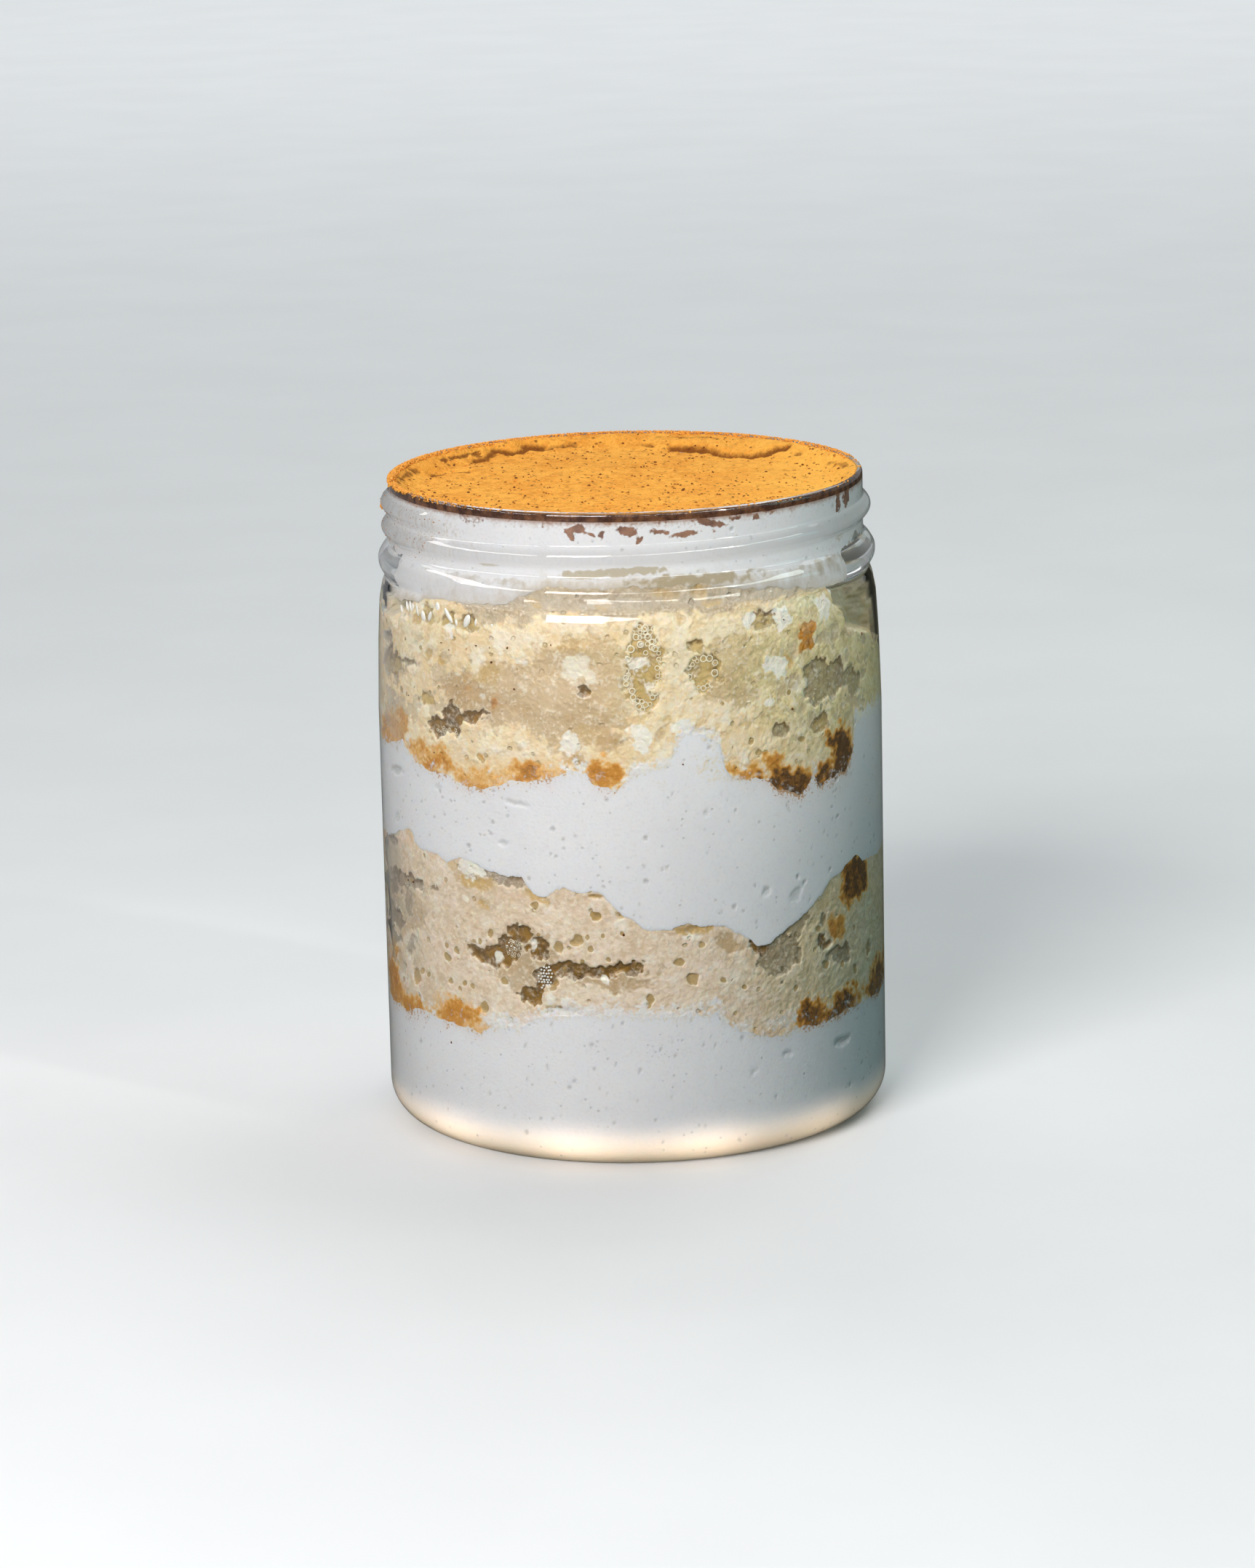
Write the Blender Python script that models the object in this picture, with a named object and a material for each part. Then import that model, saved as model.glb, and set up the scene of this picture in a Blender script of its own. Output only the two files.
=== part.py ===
"""Tres leches cake in its clear screw-neck jar.

From the base up: cream, soaked cake, cream, soaked cake, cream and a skin of ground cinnamon.
Angles are in degrees round the jar, from the front (-Y) towards the right (+X).
Lengths are in millimetres here and become metres where a mesh is made.
"""

import math

import bmesh
import bpy

MM = 0.001
GAP = 0.3  # between pieces that touch

# The jar
JAR_HEIGHT = 118.4
BODY_RADIUS = 46.0
NECK_RADIUS = 43.0
BEAD_RADIUS = 45.1
GROOVE_RADIUS = 43.9
BODY_WALL = 0.9
NECK_WALL = 1.1
SHOULDER_HEIGHT = 76.0  # the body starts to draw in here
GROOVE_HEIGHT = 101.0
BEAD_HEIGHT = 103.8
NECK_FOOT_HEIGHT = 107.0
LIP_ROUND = 0.6
HEEL_ROUND = 6.0
FOOT_INNER_RADIUS = 35.0
PUSH_UP = 3.0  # how far the middle of the base stands off the floor
SIDES = 72

# The screw thread
THREAD_PITCH = 4.4
THREAD_FRONT_HEIGHT = 110.75
THREAD_START, THREAD_END = -130.0, 318.0
THREAD_FADE = 18.0  # degrees over which each end dies into the neck
THREAD_STEP = 5.6
THREAD_RISE = 1.4
THREAD_HALF_WIDTH = 2.0
THREAD_ROOT = 0.5  # how deep the ridge is set into the neck's wall

# Where the layers meet at the wall: (angle, height)
LOWER_CAKE_FLOOR = (
    (-75, 23.0), (-60, 24.5), (-45, 24.0), (-37, 23.6), (-25, 27.0), (-14, 28.4), (0, 28.6),
    (15, 28.0), (23, 24.8), (32, 21.8), (44, 22.3), (58, 23.2), (75, 22.6), (100, 24.0),
    (130, 27.0), (160, 26.0), (190, 23.5), (220, 22.5), (255, 24.5),
)
LOWER_CAKE_TOP = (
    (-75, 54.5), (-62, 57.4), (-50, 54.6), (-40, 54.8), (-27, 52.8), (-21, 50.4), (-14, 51.6),
    (-6, 49.6), (0, 46.0), (5, 44.0), (16, 44.4), (23, 42.8), (29, 39.5), (40, 43.0),
    (50, 48.0), (61, 51.4), (75, 49.0), (95, 50.0), (120, 54.0), (150, 51.0), (180, 46.0),
    (210, 45.0), (240, 50.0), (265, 53.5),
)
UPPER_CAKE_FLOOR = (
    (-75, 71.8), (-65, 73.6), (-57, 71.2), (-40, 68.6), (-27, 70.6), (-14, 72.8), (-6, 70.0),
    (2, 72.5), (8, 74.8), (13, 78.8), (18, 78.2), (23, 71.0), (33, 68.4), (41, 65.8),
    (48, 66.4), (57, 68.2), (62, 75.0), (75, 75.8), (100, 73.0), (130, 69.0), (160, 71.0),
    (180, 74.0), (210, 72.0), (240, 69.0), (265, 70.5),
)
UPPER_CAKE_TOP = (
    (-75, 98.5), (-60, 99.5), (-50, 101.4), (-30, 102.2), (-19, 104.8), (17, 104.8), (28, 103.8),
    (40, 103.0), (52, 101.8), (75, 101.0), (100, 102.0), (130, 103.5), (160, 104.5),
    (180, 104.0), (210, 103.0), (240, 101.0), (265, 99.0),
)

# Hollows in the sides: (angle, height, half width in degrees, half height, depth)
LOWER_CAKE_HOLLOWS = (
    (-27, 40.5, 7, 4.5, 3.2), (-20, 35.0, 6, 4.0, 3.6), (-9, 36.4, 11, 3.0, 3.0),
    (-20, 31.4, 9, 3.2, 2.4), (34, 36.8, 8, 5.5, 2.6), (-64, 48.0, 13, 3.2, 2.0),
    (-72, 40.0, 6, 3.6, 2.0), (54, 39.0, 6, 4.0, 2.0), (110, 38.0, 8, 4.5, 2.8),
    (150, 33.5, 10, 3.6, 2.6), (195, 39.0, 8, 4.5, 3.0), (240, 36.0, 9, 3.8, 2.6),
)
UPPER_CAKE_HOLLOWS = (
    (4, 91.0, 6, 8.5, 2.6), (17, 90.0, 6, 5.0, 2.6), (-46, 79.6, 8, 4.2, 3.2),
    (-36, 85.6, 8, 3.8, 1.6), (-67, 87.0, 8, 3.6, 2.0), (50, 84.5, 9, 6.0, 2.6),
    (48, 77.0, 6, 3.6, 2.0), (74, 97.0, 20, 14.0, 9.0), (-74, 101.0, 16, 7.0, 4.0),
    (112, 88.0, 9, 5.5, 2.8), (140, 81.0, 8, 4.5, 2.6), (178, 91.0, 10, 4.6, 2.8),
    (210, 84.0, 8, 5.5, 2.6), (245, 92.0, 10, 4.6, 2.6),
)
TOP_CREAM_HOLLOWS = ((74, 103.5, 13, 5.0, 4.0), (-76, 102.0, 12, 5.0, 2.0))
HOLLOW_REACH = 0.4  # share of the radius over which a hollow dies away inwards

# The surface of the cinnamon
POWDER_THICKNESS = 1.2
PLATEAU_HEIGHT = 115.8
PLATEAU_SWELL = 0.25
EDGE_HEIGHT = 117.8
FRONT_SLOPE, BACK_SLOPE = 3.5, 5.0  # width of the slope up to the wall
WIDE_SLOPE, WIDE_SLOPE_ANGLE, WIDE_SLOPE_SPREAD = 9.0, 150.0, 32.0

# Rings of each layer's upper and lower face, as shares of the bore
RINGS = (0.0, 0.55, 0.88, 1.0)
POWDER_RINGS = (0.0, 0.7, 0.9, 1.0)


def clear_scene():
    for item in list(bpy.data.objects):
        bpy.data.objects.remove(item, do_unlink=True)


def smooth_share(share):
    share = min(max(share, 0.0), 1.0)
    return share * share * (3.0 - 2.0 * share)


def arc(centre_radius, centre_height, size, start, end, steps):
    """Points of an arc in the half section; 0 degrees points outwards and 90 degrees up."""
    turns = [math.radians(start + (end - start) * step / steps) for step in range(steps + 1)]
    return [(centre_radius + size * math.cos(turn), centre_height + size * math.sin(turn))
            for turn in turns]


def outer_wall():
    """The outside from the foot ring to the top of the lip."""
    heel = arc(BODY_RADIUS - HEEL_ROUND, HEEL_ROUND, HEEL_ROUND, -90.0, 0.0, 4)
    shoulder = [(BODY_RADIUS, SHOULDER_HEIGHT), (45.6, 89.0), (45.2, 96.0), (44.6, 99.2),
                (GROOVE_RADIUS, GROOVE_HEIGHT)]
    bead = [(44.7, GROOVE_HEIGHT + 1.2), (BEAD_RADIUS, BEAD_HEIGHT - 0.7),
            (BEAD_RADIUS, BEAD_HEIGHT + 0.7), (44.2, 106.0), (NECK_RADIUS, NECK_FOOT_HEIGHT)]
    lip = arc(NECK_RADIUS - LIP_ROUND, JAR_HEIGHT - LIP_ROUND, LIP_ROUND, 0.0, 90.0, 2)
    return heel + shoulder + bead + lip


def inner_wall():
    """The inside from the lip down to the edge of the base."""
    neck = NECK_RADIUS - NECK_WALL
    body = BODY_RADIUS - BODY_WALL
    round_size = HEEL_ROUND - BODY_WALL
    heel = arc(body - round_size, BODY_WALL + round_size, round_size, 0.0, -90.0, 4)
    return [(neck + 0.2, JAR_HEIGHT), (neck, JAR_HEIGHT - 0.4), (neck, 109.0), (42.15, 106.0),
            (42.7, 103.0), (43.3, GROOVE_HEIGHT), (43.9, 98.6), (44.4, 95.0), (44.75, 88.0),
            (body, SHOULDER_HEIGHT)] + heel


def base_rise(radius):
    """How far the underside of the base stands off the floor at this radius."""
    return PUSH_UP * (1.0 - smooth_share(radius / FOOT_INNER_RADIUS))


def bore_radius(height):
    """Inner radius of the jar at this height."""
    wall = inner_wall()
    if height >= wall[0][1]:
        return wall[0][0]
    for (upper_radius, upper), (lower_radius, lower) in zip(wall, wall[1:]):
        if height >= lower:
            share = (height - lower) / max(upper - lower, 1e-6)
            return lower_radius + (upper_radius - lower_radius) * share
    return wall[-1][0]


def height_at_wall(points, angle):
    """Height of a meeting line at this angle, eased between the points on either side of it."""
    first = points[0][0]
    angle = first + (angle - first) % 360.0
    closed = points + ((first + 360, points[0][1]),)
    for (start, low), (end, high) in zip(closed, closed[1:]):
        if angle <= end:
            return low + (high - low) * smooth_share((angle - start) / (end - start))
    return closed[-1][1]


def meeting_surface(points):
    """A surface through the meeting line at the wall, which flattens towards the jar's axis."""
    middle = sum(height for _, height in points) / len(points)

    def height(angle, share_out):
        return middle + (height_at_wall(points, angle) - middle) * share_out ** 2

    return height


def base_surface(angle, share_out):
    radius = share_out * (BODY_RADIUS - HEEL_ROUND)
    return BODY_WALL + base_rise(radius) + GAP


def powder_surface(angle, share_out):
    """Top of the cinnamon: a low plateau with a slope up to the wall, widest at the back right."""
    radius = share_out * (NECK_RADIUS - NECK_WALL - GAP)
    away = abs((angle - WIDE_SLOPE_ANGLE + 180.0) % 360.0 - 180.0)
    wide = math.exp(-((away / WIDE_SLOPE_SPREAD) ** 2))
    plain = FRONT_SLOPE + (BACK_SLOPE - FRONT_SLOPE) * (1.0 - math.cos(math.radians(angle))) / 2.0
    width = plain + (WIDE_SLOPE - plain) * wide
    start = NECK_RADIUS - NECK_WALL - GAP - width
    climb = smooth_share((radius - start) / width)
    swell = PLATEAU_SWELL * math.sin(math.radians(2.0 * angle + 40.0)) * share_out
    plateau = PLATEAU_HEIGHT + swell * (1.0 - climb)
    return plateau + (EDGE_HEIGHT - PLATEAU_HEIGHT) * climb


def hollow_depth(hollows, angle, height):
    """How far the hollows set the surface back from the wall."""
    deepest = 0.0
    for centre, level, half_width, half_height, depth in hollows:
        across = ((angle - centre + 180.0) % 360.0 - 180.0) / half_width
        up = (height - level) / half_height
        deepest = max(deepest, depth * smooth_share(1.25 * (1.0 - math.hypot(across, up))))
    return deepest


def turned(outline):
    """A closed surface turned about the jar's axis from a half section that starts and ends on it."""
    bm = bmesh.new()
    corners = [bm.verts.new((0.0, -radius, height)) for radius, height in outline]
    lines = [bm.edges.new(pair) for pair in zip(corners, corners[1:])]
    bmesh.ops.spin(bm, geom=corners + lines, cent=(0.0, 0.0, 0.0), axis=(0.0, 0.0, 1.0),
                   angle=math.tau, steps=SIDES, use_merge=True)
    bmesh.ops.remove_doubles(bm, verts=bm.verts, dist=1e-5)
    bmesh.ops.recalc_face_normals(bm, faces=bm.faces)
    return bm


def material(name, colour, roughness, transmission=0.0):
    made = bpy.data.materials.new(name)
    made.use_nodes = True
    shader = made.node_tree.nodes["Principled BSDF"]
    shader.inputs["Base Color"].default_value = (*colour, 1.0)
    shader.inputs["Roughness"].default_value = roughness
    shader.inputs["Metallic"].default_value = 0.0
    shader.inputs["Transmission Weight"].default_value = transmission
    return made


def finished(bm, name, finish):
    """The object for a mesh that was made in millimetres."""
    bmesh.ops.scale(bm, vec=(MM, MM, MM), verts=bm.verts)
    mesh = bpy.data.meshes.new(name)
    bm.to_mesh(mesh)
    bm.free()
    mesh.shade_smooth()
    mesh.set_sharp_from_angle(angle=math.radians(40.0))
    made = bpy.data.objects.new(name, mesh)
    bpy.context.scene.collection.objects.link(made)
    if finish:
        mesh.materials.append(finish)
    return made


def thread_ridge():
    """The raised thread as a helical bar, its root inside the neck's wall and its ends faded out."""
    bm = bmesh.new()
    section = [(-1.0, 0.0), (-0.55, 0.62), (-0.18, 1.0), (0.18, 1.0), (0.55, 0.62), (1.0, 0.0)]
    steps = round((THREAD_END - THREAD_START) / THREAD_STEP)
    rings = []
    for step in range(steps + 1):
        angle = THREAD_START + (THREAD_END - THREAD_START) * step / steps
        middle = THREAD_FRONT_HEIGHT + THREAD_PITCH * angle / 360.0
        to_end = min(angle - THREAD_START, THREAD_END - angle)
        strength = smooth_share(to_end / THREAD_FADE)
        outline = [(NECK_RADIUS - THREAD_ROOT, -THREAD_HALF_WIDTH)]
        outline += [(NECK_RADIUS - THREAD_ROOT / 2 + (THREAD_RISE + THREAD_ROOT / 2) * rise * strength,
                     THREAD_HALF_WIDTH * place) for place, rise in section]
        outline += [(NECK_RADIUS - THREAD_ROOT, THREAD_HALF_WIDTH)]
        turn = math.radians(angle)
        rings.append([bm.verts.new((radius * math.sin(turn), -radius * math.cos(turn), middle + rise))
                      for radius, rise in outline])
    for ring, following in zip(rings, rings[1:]):
        for corner in range(len(ring)):
            beside = (corner + 1) % len(ring)
            bm.faces.new((ring[corner], following[corner], following[beside], ring[beside]))
    bm.faces.new(rings[0])
    bm.faces.new(reversed(rings[-1]))
    bmesh.ops.recalc_face_normals(bm, faces=bm.faces)
    return bm


def make_jar():
    rise = [(radius, base_rise(radius)) for radius in (0.0, 18.0, FOOT_INNER_RADIUS)]
    floor = [(radius, height + BODY_WALL) for radius, height in reversed(rise)]
    jar = finished(turned(rise + outer_wall() + inner_wall() + floor), "jar",
                   material("clear_plastic", (0.93, 0.95, 0.94), 0.05, transmission=1.0))
    ridge = finished(thread_ridge(), "thread_ridge", None)
    ridge.hide_render = True
    ridge.display_type = "WIRE"
    join = jar.modifiers.new("thread", "BOOLEAN")
    join.operation = "UNION"
    join.solver = "EXACT"
    join.object = ridge


def make_layer(name, low, high, levels, hollows, finish, low_rings=RINGS, high_rings=RINGS):
    """A layer that fills the jar between two surfaces, cut into levels up its side."""
    outline = [(ring, 0.0) for ring in low_rings[:-1]]
    outline += [(1.0, level) for level in levels]
    outline += [(ring, 1.0) for ring in reversed(high_rings[:-1])]
    bm = turned(outline)
    for corner in bm.verts:
        share_out = math.hypot(corner.co.x, corner.co.y)
        angle = math.degrees(math.atan2(corner.co.x, -corner.co.y))
        bottom, top = low(angle, share_out), high(angle, share_out)
        height = bottom + (top - bottom) * corner.co.z
        radius = share_out * (bore_radius(height) - GAP)
        fade = max(share_out - 1.0 + HOLLOW_REACH, 0.0) / HOLLOW_REACH
        radius -= fade * hollow_depth(hollows, angle, height)
        turn = math.radians(angle)
        corner.co = (radius * math.sin(turn), -radius * math.cos(turn), height)
    # Layers that meet split their facing quads alike, so that the gap stays open.
    bmesh.ops.triangulate(bm, faces=bm.faces, quad_method="SHORT_EDGE")
    return finished(bm, name, finish)


def lifted(surface, amount):
    return lambda angle, share_out: surface(angle, share_out) + amount


def even_levels(count):
    return [step / count for step in range(count + 1)]


def make_contents():
    cream = material("cream", (0.86, 0.86, 0.84), 0.45)
    cake = material("soaked_cake", (0.72, 0.60, 0.38), 0.55)
    cinnamon = material("cinnamon", (0.72, 0.33, 0.06), 0.9)
    half = GAP / 2.0
    lower_floor, lower_top = meeting_surface(LOWER_CAKE_FLOOR), meeting_surface(LOWER_CAKE_TOP)
    upper_floor, upper_top = meeting_surface(UPPER_CAKE_FLOOR), meeting_surface(UPPER_CAKE_TOP)
    powder_floor = lifted(powder_surface, -POWDER_THICKNESS)
    make_layer("cream_bottom", base_surface, lifted(lower_floor, -half),
               [0.0, 0.03, 0.09, 0.2, 1.0], (), cream)
    make_layer("cake_lower", lifted(lower_floor, half), lifted(lower_top, -half),
               even_levels(7), LOWER_CAKE_HOLLOWS, cake)
    make_layer("cream_middle", lifted(lower_top, half), lifted(upper_floor, -half),
               even_levels(2), (), cream)
    make_layer("cake_upper", lifted(upper_floor, half), lifted(upper_top, -half),
               even_levels(9), UPPER_CAKE_HOLLOWS, cake)
    make_layer("cream_top", lifted(upper_top, half), lifted(powder_floor, -GAP),
               even_levels(4), TOP_CREAM_HOLLOWS, cream, high_rings=POWDER_RINGS)
    make_layer("cinnamon", powder_floor, powder_surface,
               even_levels(1), (), cinnamon, low_rings=POWDER_RINGS, high_rings=POWDER_RINGS)


clear_scene()
make_jar()
make_contents()
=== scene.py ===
# Tres leches cake in its screw-neck jar.
# Lengths are in millimetres and angles in degrees, counted round the jar from its shown side (-Y)
# towards the right (+X). A mesh is brought to metres when it becomes an object.
import math
import random

import bmesh
import bpy
import numpy as np
from mathutils import Matrix, Vector, noise


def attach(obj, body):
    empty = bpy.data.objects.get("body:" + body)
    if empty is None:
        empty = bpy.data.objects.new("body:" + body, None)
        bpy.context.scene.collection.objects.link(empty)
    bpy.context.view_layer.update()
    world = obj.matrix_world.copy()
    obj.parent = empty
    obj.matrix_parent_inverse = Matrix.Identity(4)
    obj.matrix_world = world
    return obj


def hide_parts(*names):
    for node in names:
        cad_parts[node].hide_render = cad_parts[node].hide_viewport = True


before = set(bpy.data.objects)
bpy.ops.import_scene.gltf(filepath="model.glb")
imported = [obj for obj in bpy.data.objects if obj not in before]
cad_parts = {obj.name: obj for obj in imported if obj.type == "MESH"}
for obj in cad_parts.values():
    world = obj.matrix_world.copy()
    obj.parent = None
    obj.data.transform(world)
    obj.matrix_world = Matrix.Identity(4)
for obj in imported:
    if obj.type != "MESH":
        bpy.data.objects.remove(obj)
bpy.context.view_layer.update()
millimetre = 0.001
print("frame loaded")


class Flow:
    # One output of a material's nodes; Python's operators add the Math nodes.
    def __init__(self, bench, socket):
        self.bench = bench
        self.socket = socket

    def maths(self, operation, first, second):
        return self.bench.add("Math", {"operation": operation}, {0: first, 1: second})

    def __add__(self, other):
        return self.maths("ADD", self, other)

    def __sub__(self, other):
        return self.maths("SUBTRACT", self, other)

    def __rsub__(self, other):
        return self.maths("SUBTRACT", other, self)

    def __mul__(self, other):
        return self.maths("MULTIPLY", self, other)

    __radd__ = __add__
    __rmul__ = __mul__

    def larger(self, other):
        return self.maths("MAXIMUM", self, other)

    def between(self, low, high):
        # eased from 0 at low to 1 at high
        return self.bench.add("MapRange", {"interpolation_type": "SMOOTHSTEP"},
                              {"Value": self, "From Min": low, "From Max": high})


class Bench:
    # The workbench on which one material, or the world, is put together.
    def __init__(self, name, owner=None):
        self.material = owner or bpy.data.materials.new(name)
        self.material.use_nodes = True
        self.tree = self.material.node_tree
        self.tree.nodes.clear()
        self.place = self.add("TexCoord", out="Object")

    def add(self, kind, settings=None, sockets=None, out=0):
        node = self.tree.nodes.new("ShaderNode" + kind)
        for name, value in (settings or {}).items():
            if name == "stops":
                self.setStops(node.color_ramp, value)
            else:
                setattr(node, name, value)
        for name, value in (sockets or {}).items():
            if isinstance(value, Flow):
                self.tree.links.new(value.socket, node.inputs[name])
            else:
                node.inputs[name].default_value = value
        return Flow(self, node.outputs[out])

    def setStops(self, ramp, stops):
        while len(ramp.elements) < len(stops):
            ramp.elements.new(0.5)
        for element, (position, colour) in zip(ramp.elements, stops):
            element.position = position
            element.color = (*colour, 1.0)

    def grain(self, size, detail=2.0, seed=0.0, out="Fac"):
        # soft noise whose features are about this many millimetres apart
        return self.add("TexNoise", {"noise_dimensions": "4D"},
                        {"Vector": self.place, "W": seed, "Scale": 1.0 / (size * millimetre),
                         "Detail": detail}, out=out)

    def cells(self, size, out="Distance", randomness=1.0):
        return self.add("TexVoronoi", None, {"Vector": self.place, "Randomness": randomness,
                                             "Scale": 1.0 / (size * millimetre)}, out=out)

    def mark(self, name):
        return self.add("Attribute", {"attribute_name": name}, out="Fac")

    def mix(self, share, low, high, way="MIX"):
        colours = [value if isinstance(value, Flow) else (*value, 1.0) for value in (low, high)]
        return self.add("Mix", {"data_type": "RGBA", "blend_type": way},
                        {0: share, 6: colours[0], 7: colours[1]}, out=2)

    def ramp(self, value, stops):
        return self.add("ValToRGB", {"stops": stops}, {"Fac": value})

    def bump(self, height, depth, strength=1.0):
        # height from 0 to 1 stands for this many millimetres
        return self.add("Bump", None, {"Height": height, "Strength": strength,
                                       "Distance": depth * millimetre})

    def finish(self, shader, kind="ShaderNodeOutputMaterial"):
        output = self.tree.nodes.new(kind)
        self.tree.links.new(shader.socket, output.inputs["Surface"])
        return self.material

    def finishClear(self, solid):
        # shadows and the light thrown back by other things pass straight through
        clear = self.add("BsdfTransparent")
        diffuseRay = self.add("LightPath", out="Is Diffuse Ray")
        shadowRay = self.add("LightPath", out="Is Shadow Ray")
        forBounces = self.add("MixShader", None, {0: diffuseRay, 1: solid, 2: clear})
        return self.finish(self.add("MixShader", None, {0: shadowRay, 1: forBounces, 2: clear}))

    def principled(self, sockets):
        return self.add("BsdfPrincipled", None, sockets)


def smoothShare(share):
    share = np.clip(share, 0.0, 1.0)
    return share * share * (3.0 - 2.0 * share)


def ripple(places, size, seed):
    # soft noise from -1 to 1 at rows of x, y, z
    shift = Vector((seed * 7.31, seed * 3.17, seed * 5.73))
    return np.array([noise.noise(Vector(place) / size + shift) for place in places])


def layered(places, parts, seed):
    # ripples laid over each other: (size, share)
    return sum(share * ripple(places, size, seed + number)
               for number, (size, share) in enumerate(parts))


def angleApart(angle, centre):
    return (angle - centre + 180.0) % 360.0 - 180.0


def aroundJar(angle, radius, height):
    turn = np.radians(angle)
    return np.stack([radius * np.sin(turn), -radius * np.cos(turn),
                     height + 0.0 * turn], axis=-1)


def turned(outline, sides, crowd=0.0):
    # a closed surface of revolution: a grid wrapped round the axis, welded at its seam and poles;
    # crowd brings its columns closer together on the shown side
    bm = bmesh.new()
    rows = len(outline) - 1
    bmesh.ops.create_grid(bm, x_segments=sides, y_segments=rows, size=0.5)
    for vert in bm.verts:
        turn = math.tau * vert.co.x
        turn -= crowd * math.sin(turn)
        radius, height = outline[round((vert.co.y + 0.5) * rows)]
        vert.co = (radius * math.sin(turn), -radius * math.cos(turn), height)
    bmesh.ops.remove_doubles(bm, verts=bm.verts, dist=1e-4)
    bmesh.ops.recalc_face_normals(bm, faces=bm.faces)
    return bm


def meshPoints(mesh):
    points = np.empty(len(mesh.vertices) * 3)
    mesh.vertices.foreach_get("co", points)
    return points.reshape(-1, 3)


def madePiece(bm, name, finish, replaced=(), reshape=None):
    # the object for a mesh in millimetres; reshape gives new points and the marks to keep on them
    mesh = bpy.data.meshes.new(name)
    bm.to_mesh(mesh)
    bm.free()
    points, marks = meshPoints(mesh), {}
    if reshape:
        points, marks = reshape(points)
    mesh.vertices.foreach_set("co", (points * millimetre).astype(np.float32).ravel())
    for mark, values in marks.items():
        layer = mesh.attributes.new(mark, "FLOAT", "POINT")
        layer.data.foreach_set("value", values.astype(np.float32))
    mesh.update()
    mesh.shade_smooth()
    mesh.set_sharp_from_angle(angle=math.radians(55.0))
    mesh.materials.append(finish)
    piece = bpy.data.objects.new(name, mesh)
    bpy.context.scene.collection.objects.link(piece)
    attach(piece, "root")
    if replaced:
        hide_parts(*replaced)
    print(name, len(mesh.polygons), "faces")
    return piece


# the jar's wall
jar = {
    "height": 118.4, "bodyRadius": 46.0, "neckRadius": 43.0, "beadRadius": 45.1,
    "bodyWall": 0.9, "neckWall": 1.1, "shoulderHeight": 76.0, "grooveHeight": 101.0,
    "grooveRadius": 43.9, "beadHeight": 103.8, "neckFootHeight": 107.0,
    "lipRound": 0.6, "heelRound": 6.0, "footInnerRadius": 35.0, "pushUp": 3.0,
    "sides": 320, "rowHeight": 0.25, "sparseRow": 2.5, "heelRow": 0.5, "innerRow": 0.6,
    "neckStretch": 96.0, "ridgeShadeDrop": 0.8, "beadReach": 2.5,
}
thread = {
    "pitch": 4.4, "frontHeight": 110.75, "start": -130.0, "end": 318.0, "fade": 18.0,
    "rise": 1.4, "halfWidth": 2.0,
}
neckBore = jar["neckRadius"] - jar["neckWall"]
bodyBore = jar["bodyRadius"] - jar["bodyWall"]


def arc(centreRadius, centreHeight, size, start, end, steps):
    turns = [math.radians(start + (end - start) * step / steps) for step in range(steps + 1)]
    return [(centreRadius + size * math.cos(turn), centreHeight + size * math.sin(turn))
            for turn in turns]


def baseRise(radius):
    return jar["pushUp"] * (1.0 - smoothShare(radius / jar["footInnerRadius"]))


def outerWall():
    radius, height = jar["bodyRadius"], jar["height"]
    heel = arc(radius - jar["heelRound"], jar["heelRound"], jar["heelRound"], -90.0, 0.0, 10)
    shoulder = [(radius, jar["shoulderHeight"]), (45.6, 89.0), (45.2, 96.0), (44.6, 99.2),
                (jar["grooveRadius"], jar["grooveHeight"])]
    bead = [(44.7, 102.2), (jar["beadRadius"], jar["beadHeight"] - 0.7),
            (jar["beadRadius"], jar["beadHeight"] + 0.7), (44.2, 106.0),
            (jar["neckRadius"], jar["neckFootHeight"])]
    lip = arc(jar["neckRadius"] - jar["lipRound"], height - jar["lipRound"], jar["lipRound"],
              0.0, 90.0, 5)
    return heel + shoulder + bead + lip


def innerWall():
    roundSize = jar["heelRound"] - jar["bodyWall"]
    heel = arc(bodyBore - roundSize, jar["bodyWall"] + roundSize, roundSize, 0.0, -90.0, 10)
    return [(neckBore + 0.2, jar["height"]), (neckBore, jar["height"] - 0.4), (neckBore, 109.0),
            (42.15, 106.0), (42.7, 103.0), (43.3, jar["grooveHeight"]), (43.9, 98.6), (44.4, 95.0),
            (44.75, 88.0), (bodyBore, jar["shoulderHeight"])] + heel


def easedLine(points, spacing, passes):
    # the line through the points with its corners softened, sampled at this spacing
    line = np.array(points)
    along = np.concatenate([[0.0], np.cumsum(np.hypot(*np.diff(line, axis=0).T))])
    count = max(int(along[-1] / spacing), 4)
    samples = np.linspace(0.0, along[-1], count + 1)
    line = np.stack([np.interp(samples, along, line[:, 0]), np.interp(samples, along, line[:, 1])], 1)
    for _ in range(passes):
        line[1:-1] = 0.25 * line[:-2] + 0.5 * line[1:-1] + 0.25 * line[2:]
    return line


boreLine = easedLine(innerWall(), jar["rowHeight"], 6)


def boreRadius(height):
    return np.interp(height, boreLine[::-1, 1], boreLine[::-1, 0])


def threadRise(angle, height):
    rise = np.zeros_like(angle)
    for lap in (0.0, 360.0):
        along = angle + lap
        middle = thread["frontHeight"] + thread["pitch"] * along / 360.0
        toEnd = np.minimum(along - thread["start"], thread["end"] - along)
        across = np.clip(1.0 - ((height - middle) / thread["halfWidth"]) ** 2, 0.0, 1.0)
        rise = np.maximum(rise, smoothShare(toEnd / thread["fade"]) * across ** 1.35)
    return thread["rise"] * rise


def ridgeShade(angle, height):
    # painted shade: how much of the light the thread and the bead keep from what is seen through them,
    # painted as darker colour on the cake and cream
    seen = height + jar["ridgeShadeDrop"]
    bead = smoothShare(1.0 - np.abs(seen - jar["beadHeight"]) / jar["beadReach"])
    return np.maximum(threadRise(angle, seen) / thread["rise"], bead)


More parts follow.
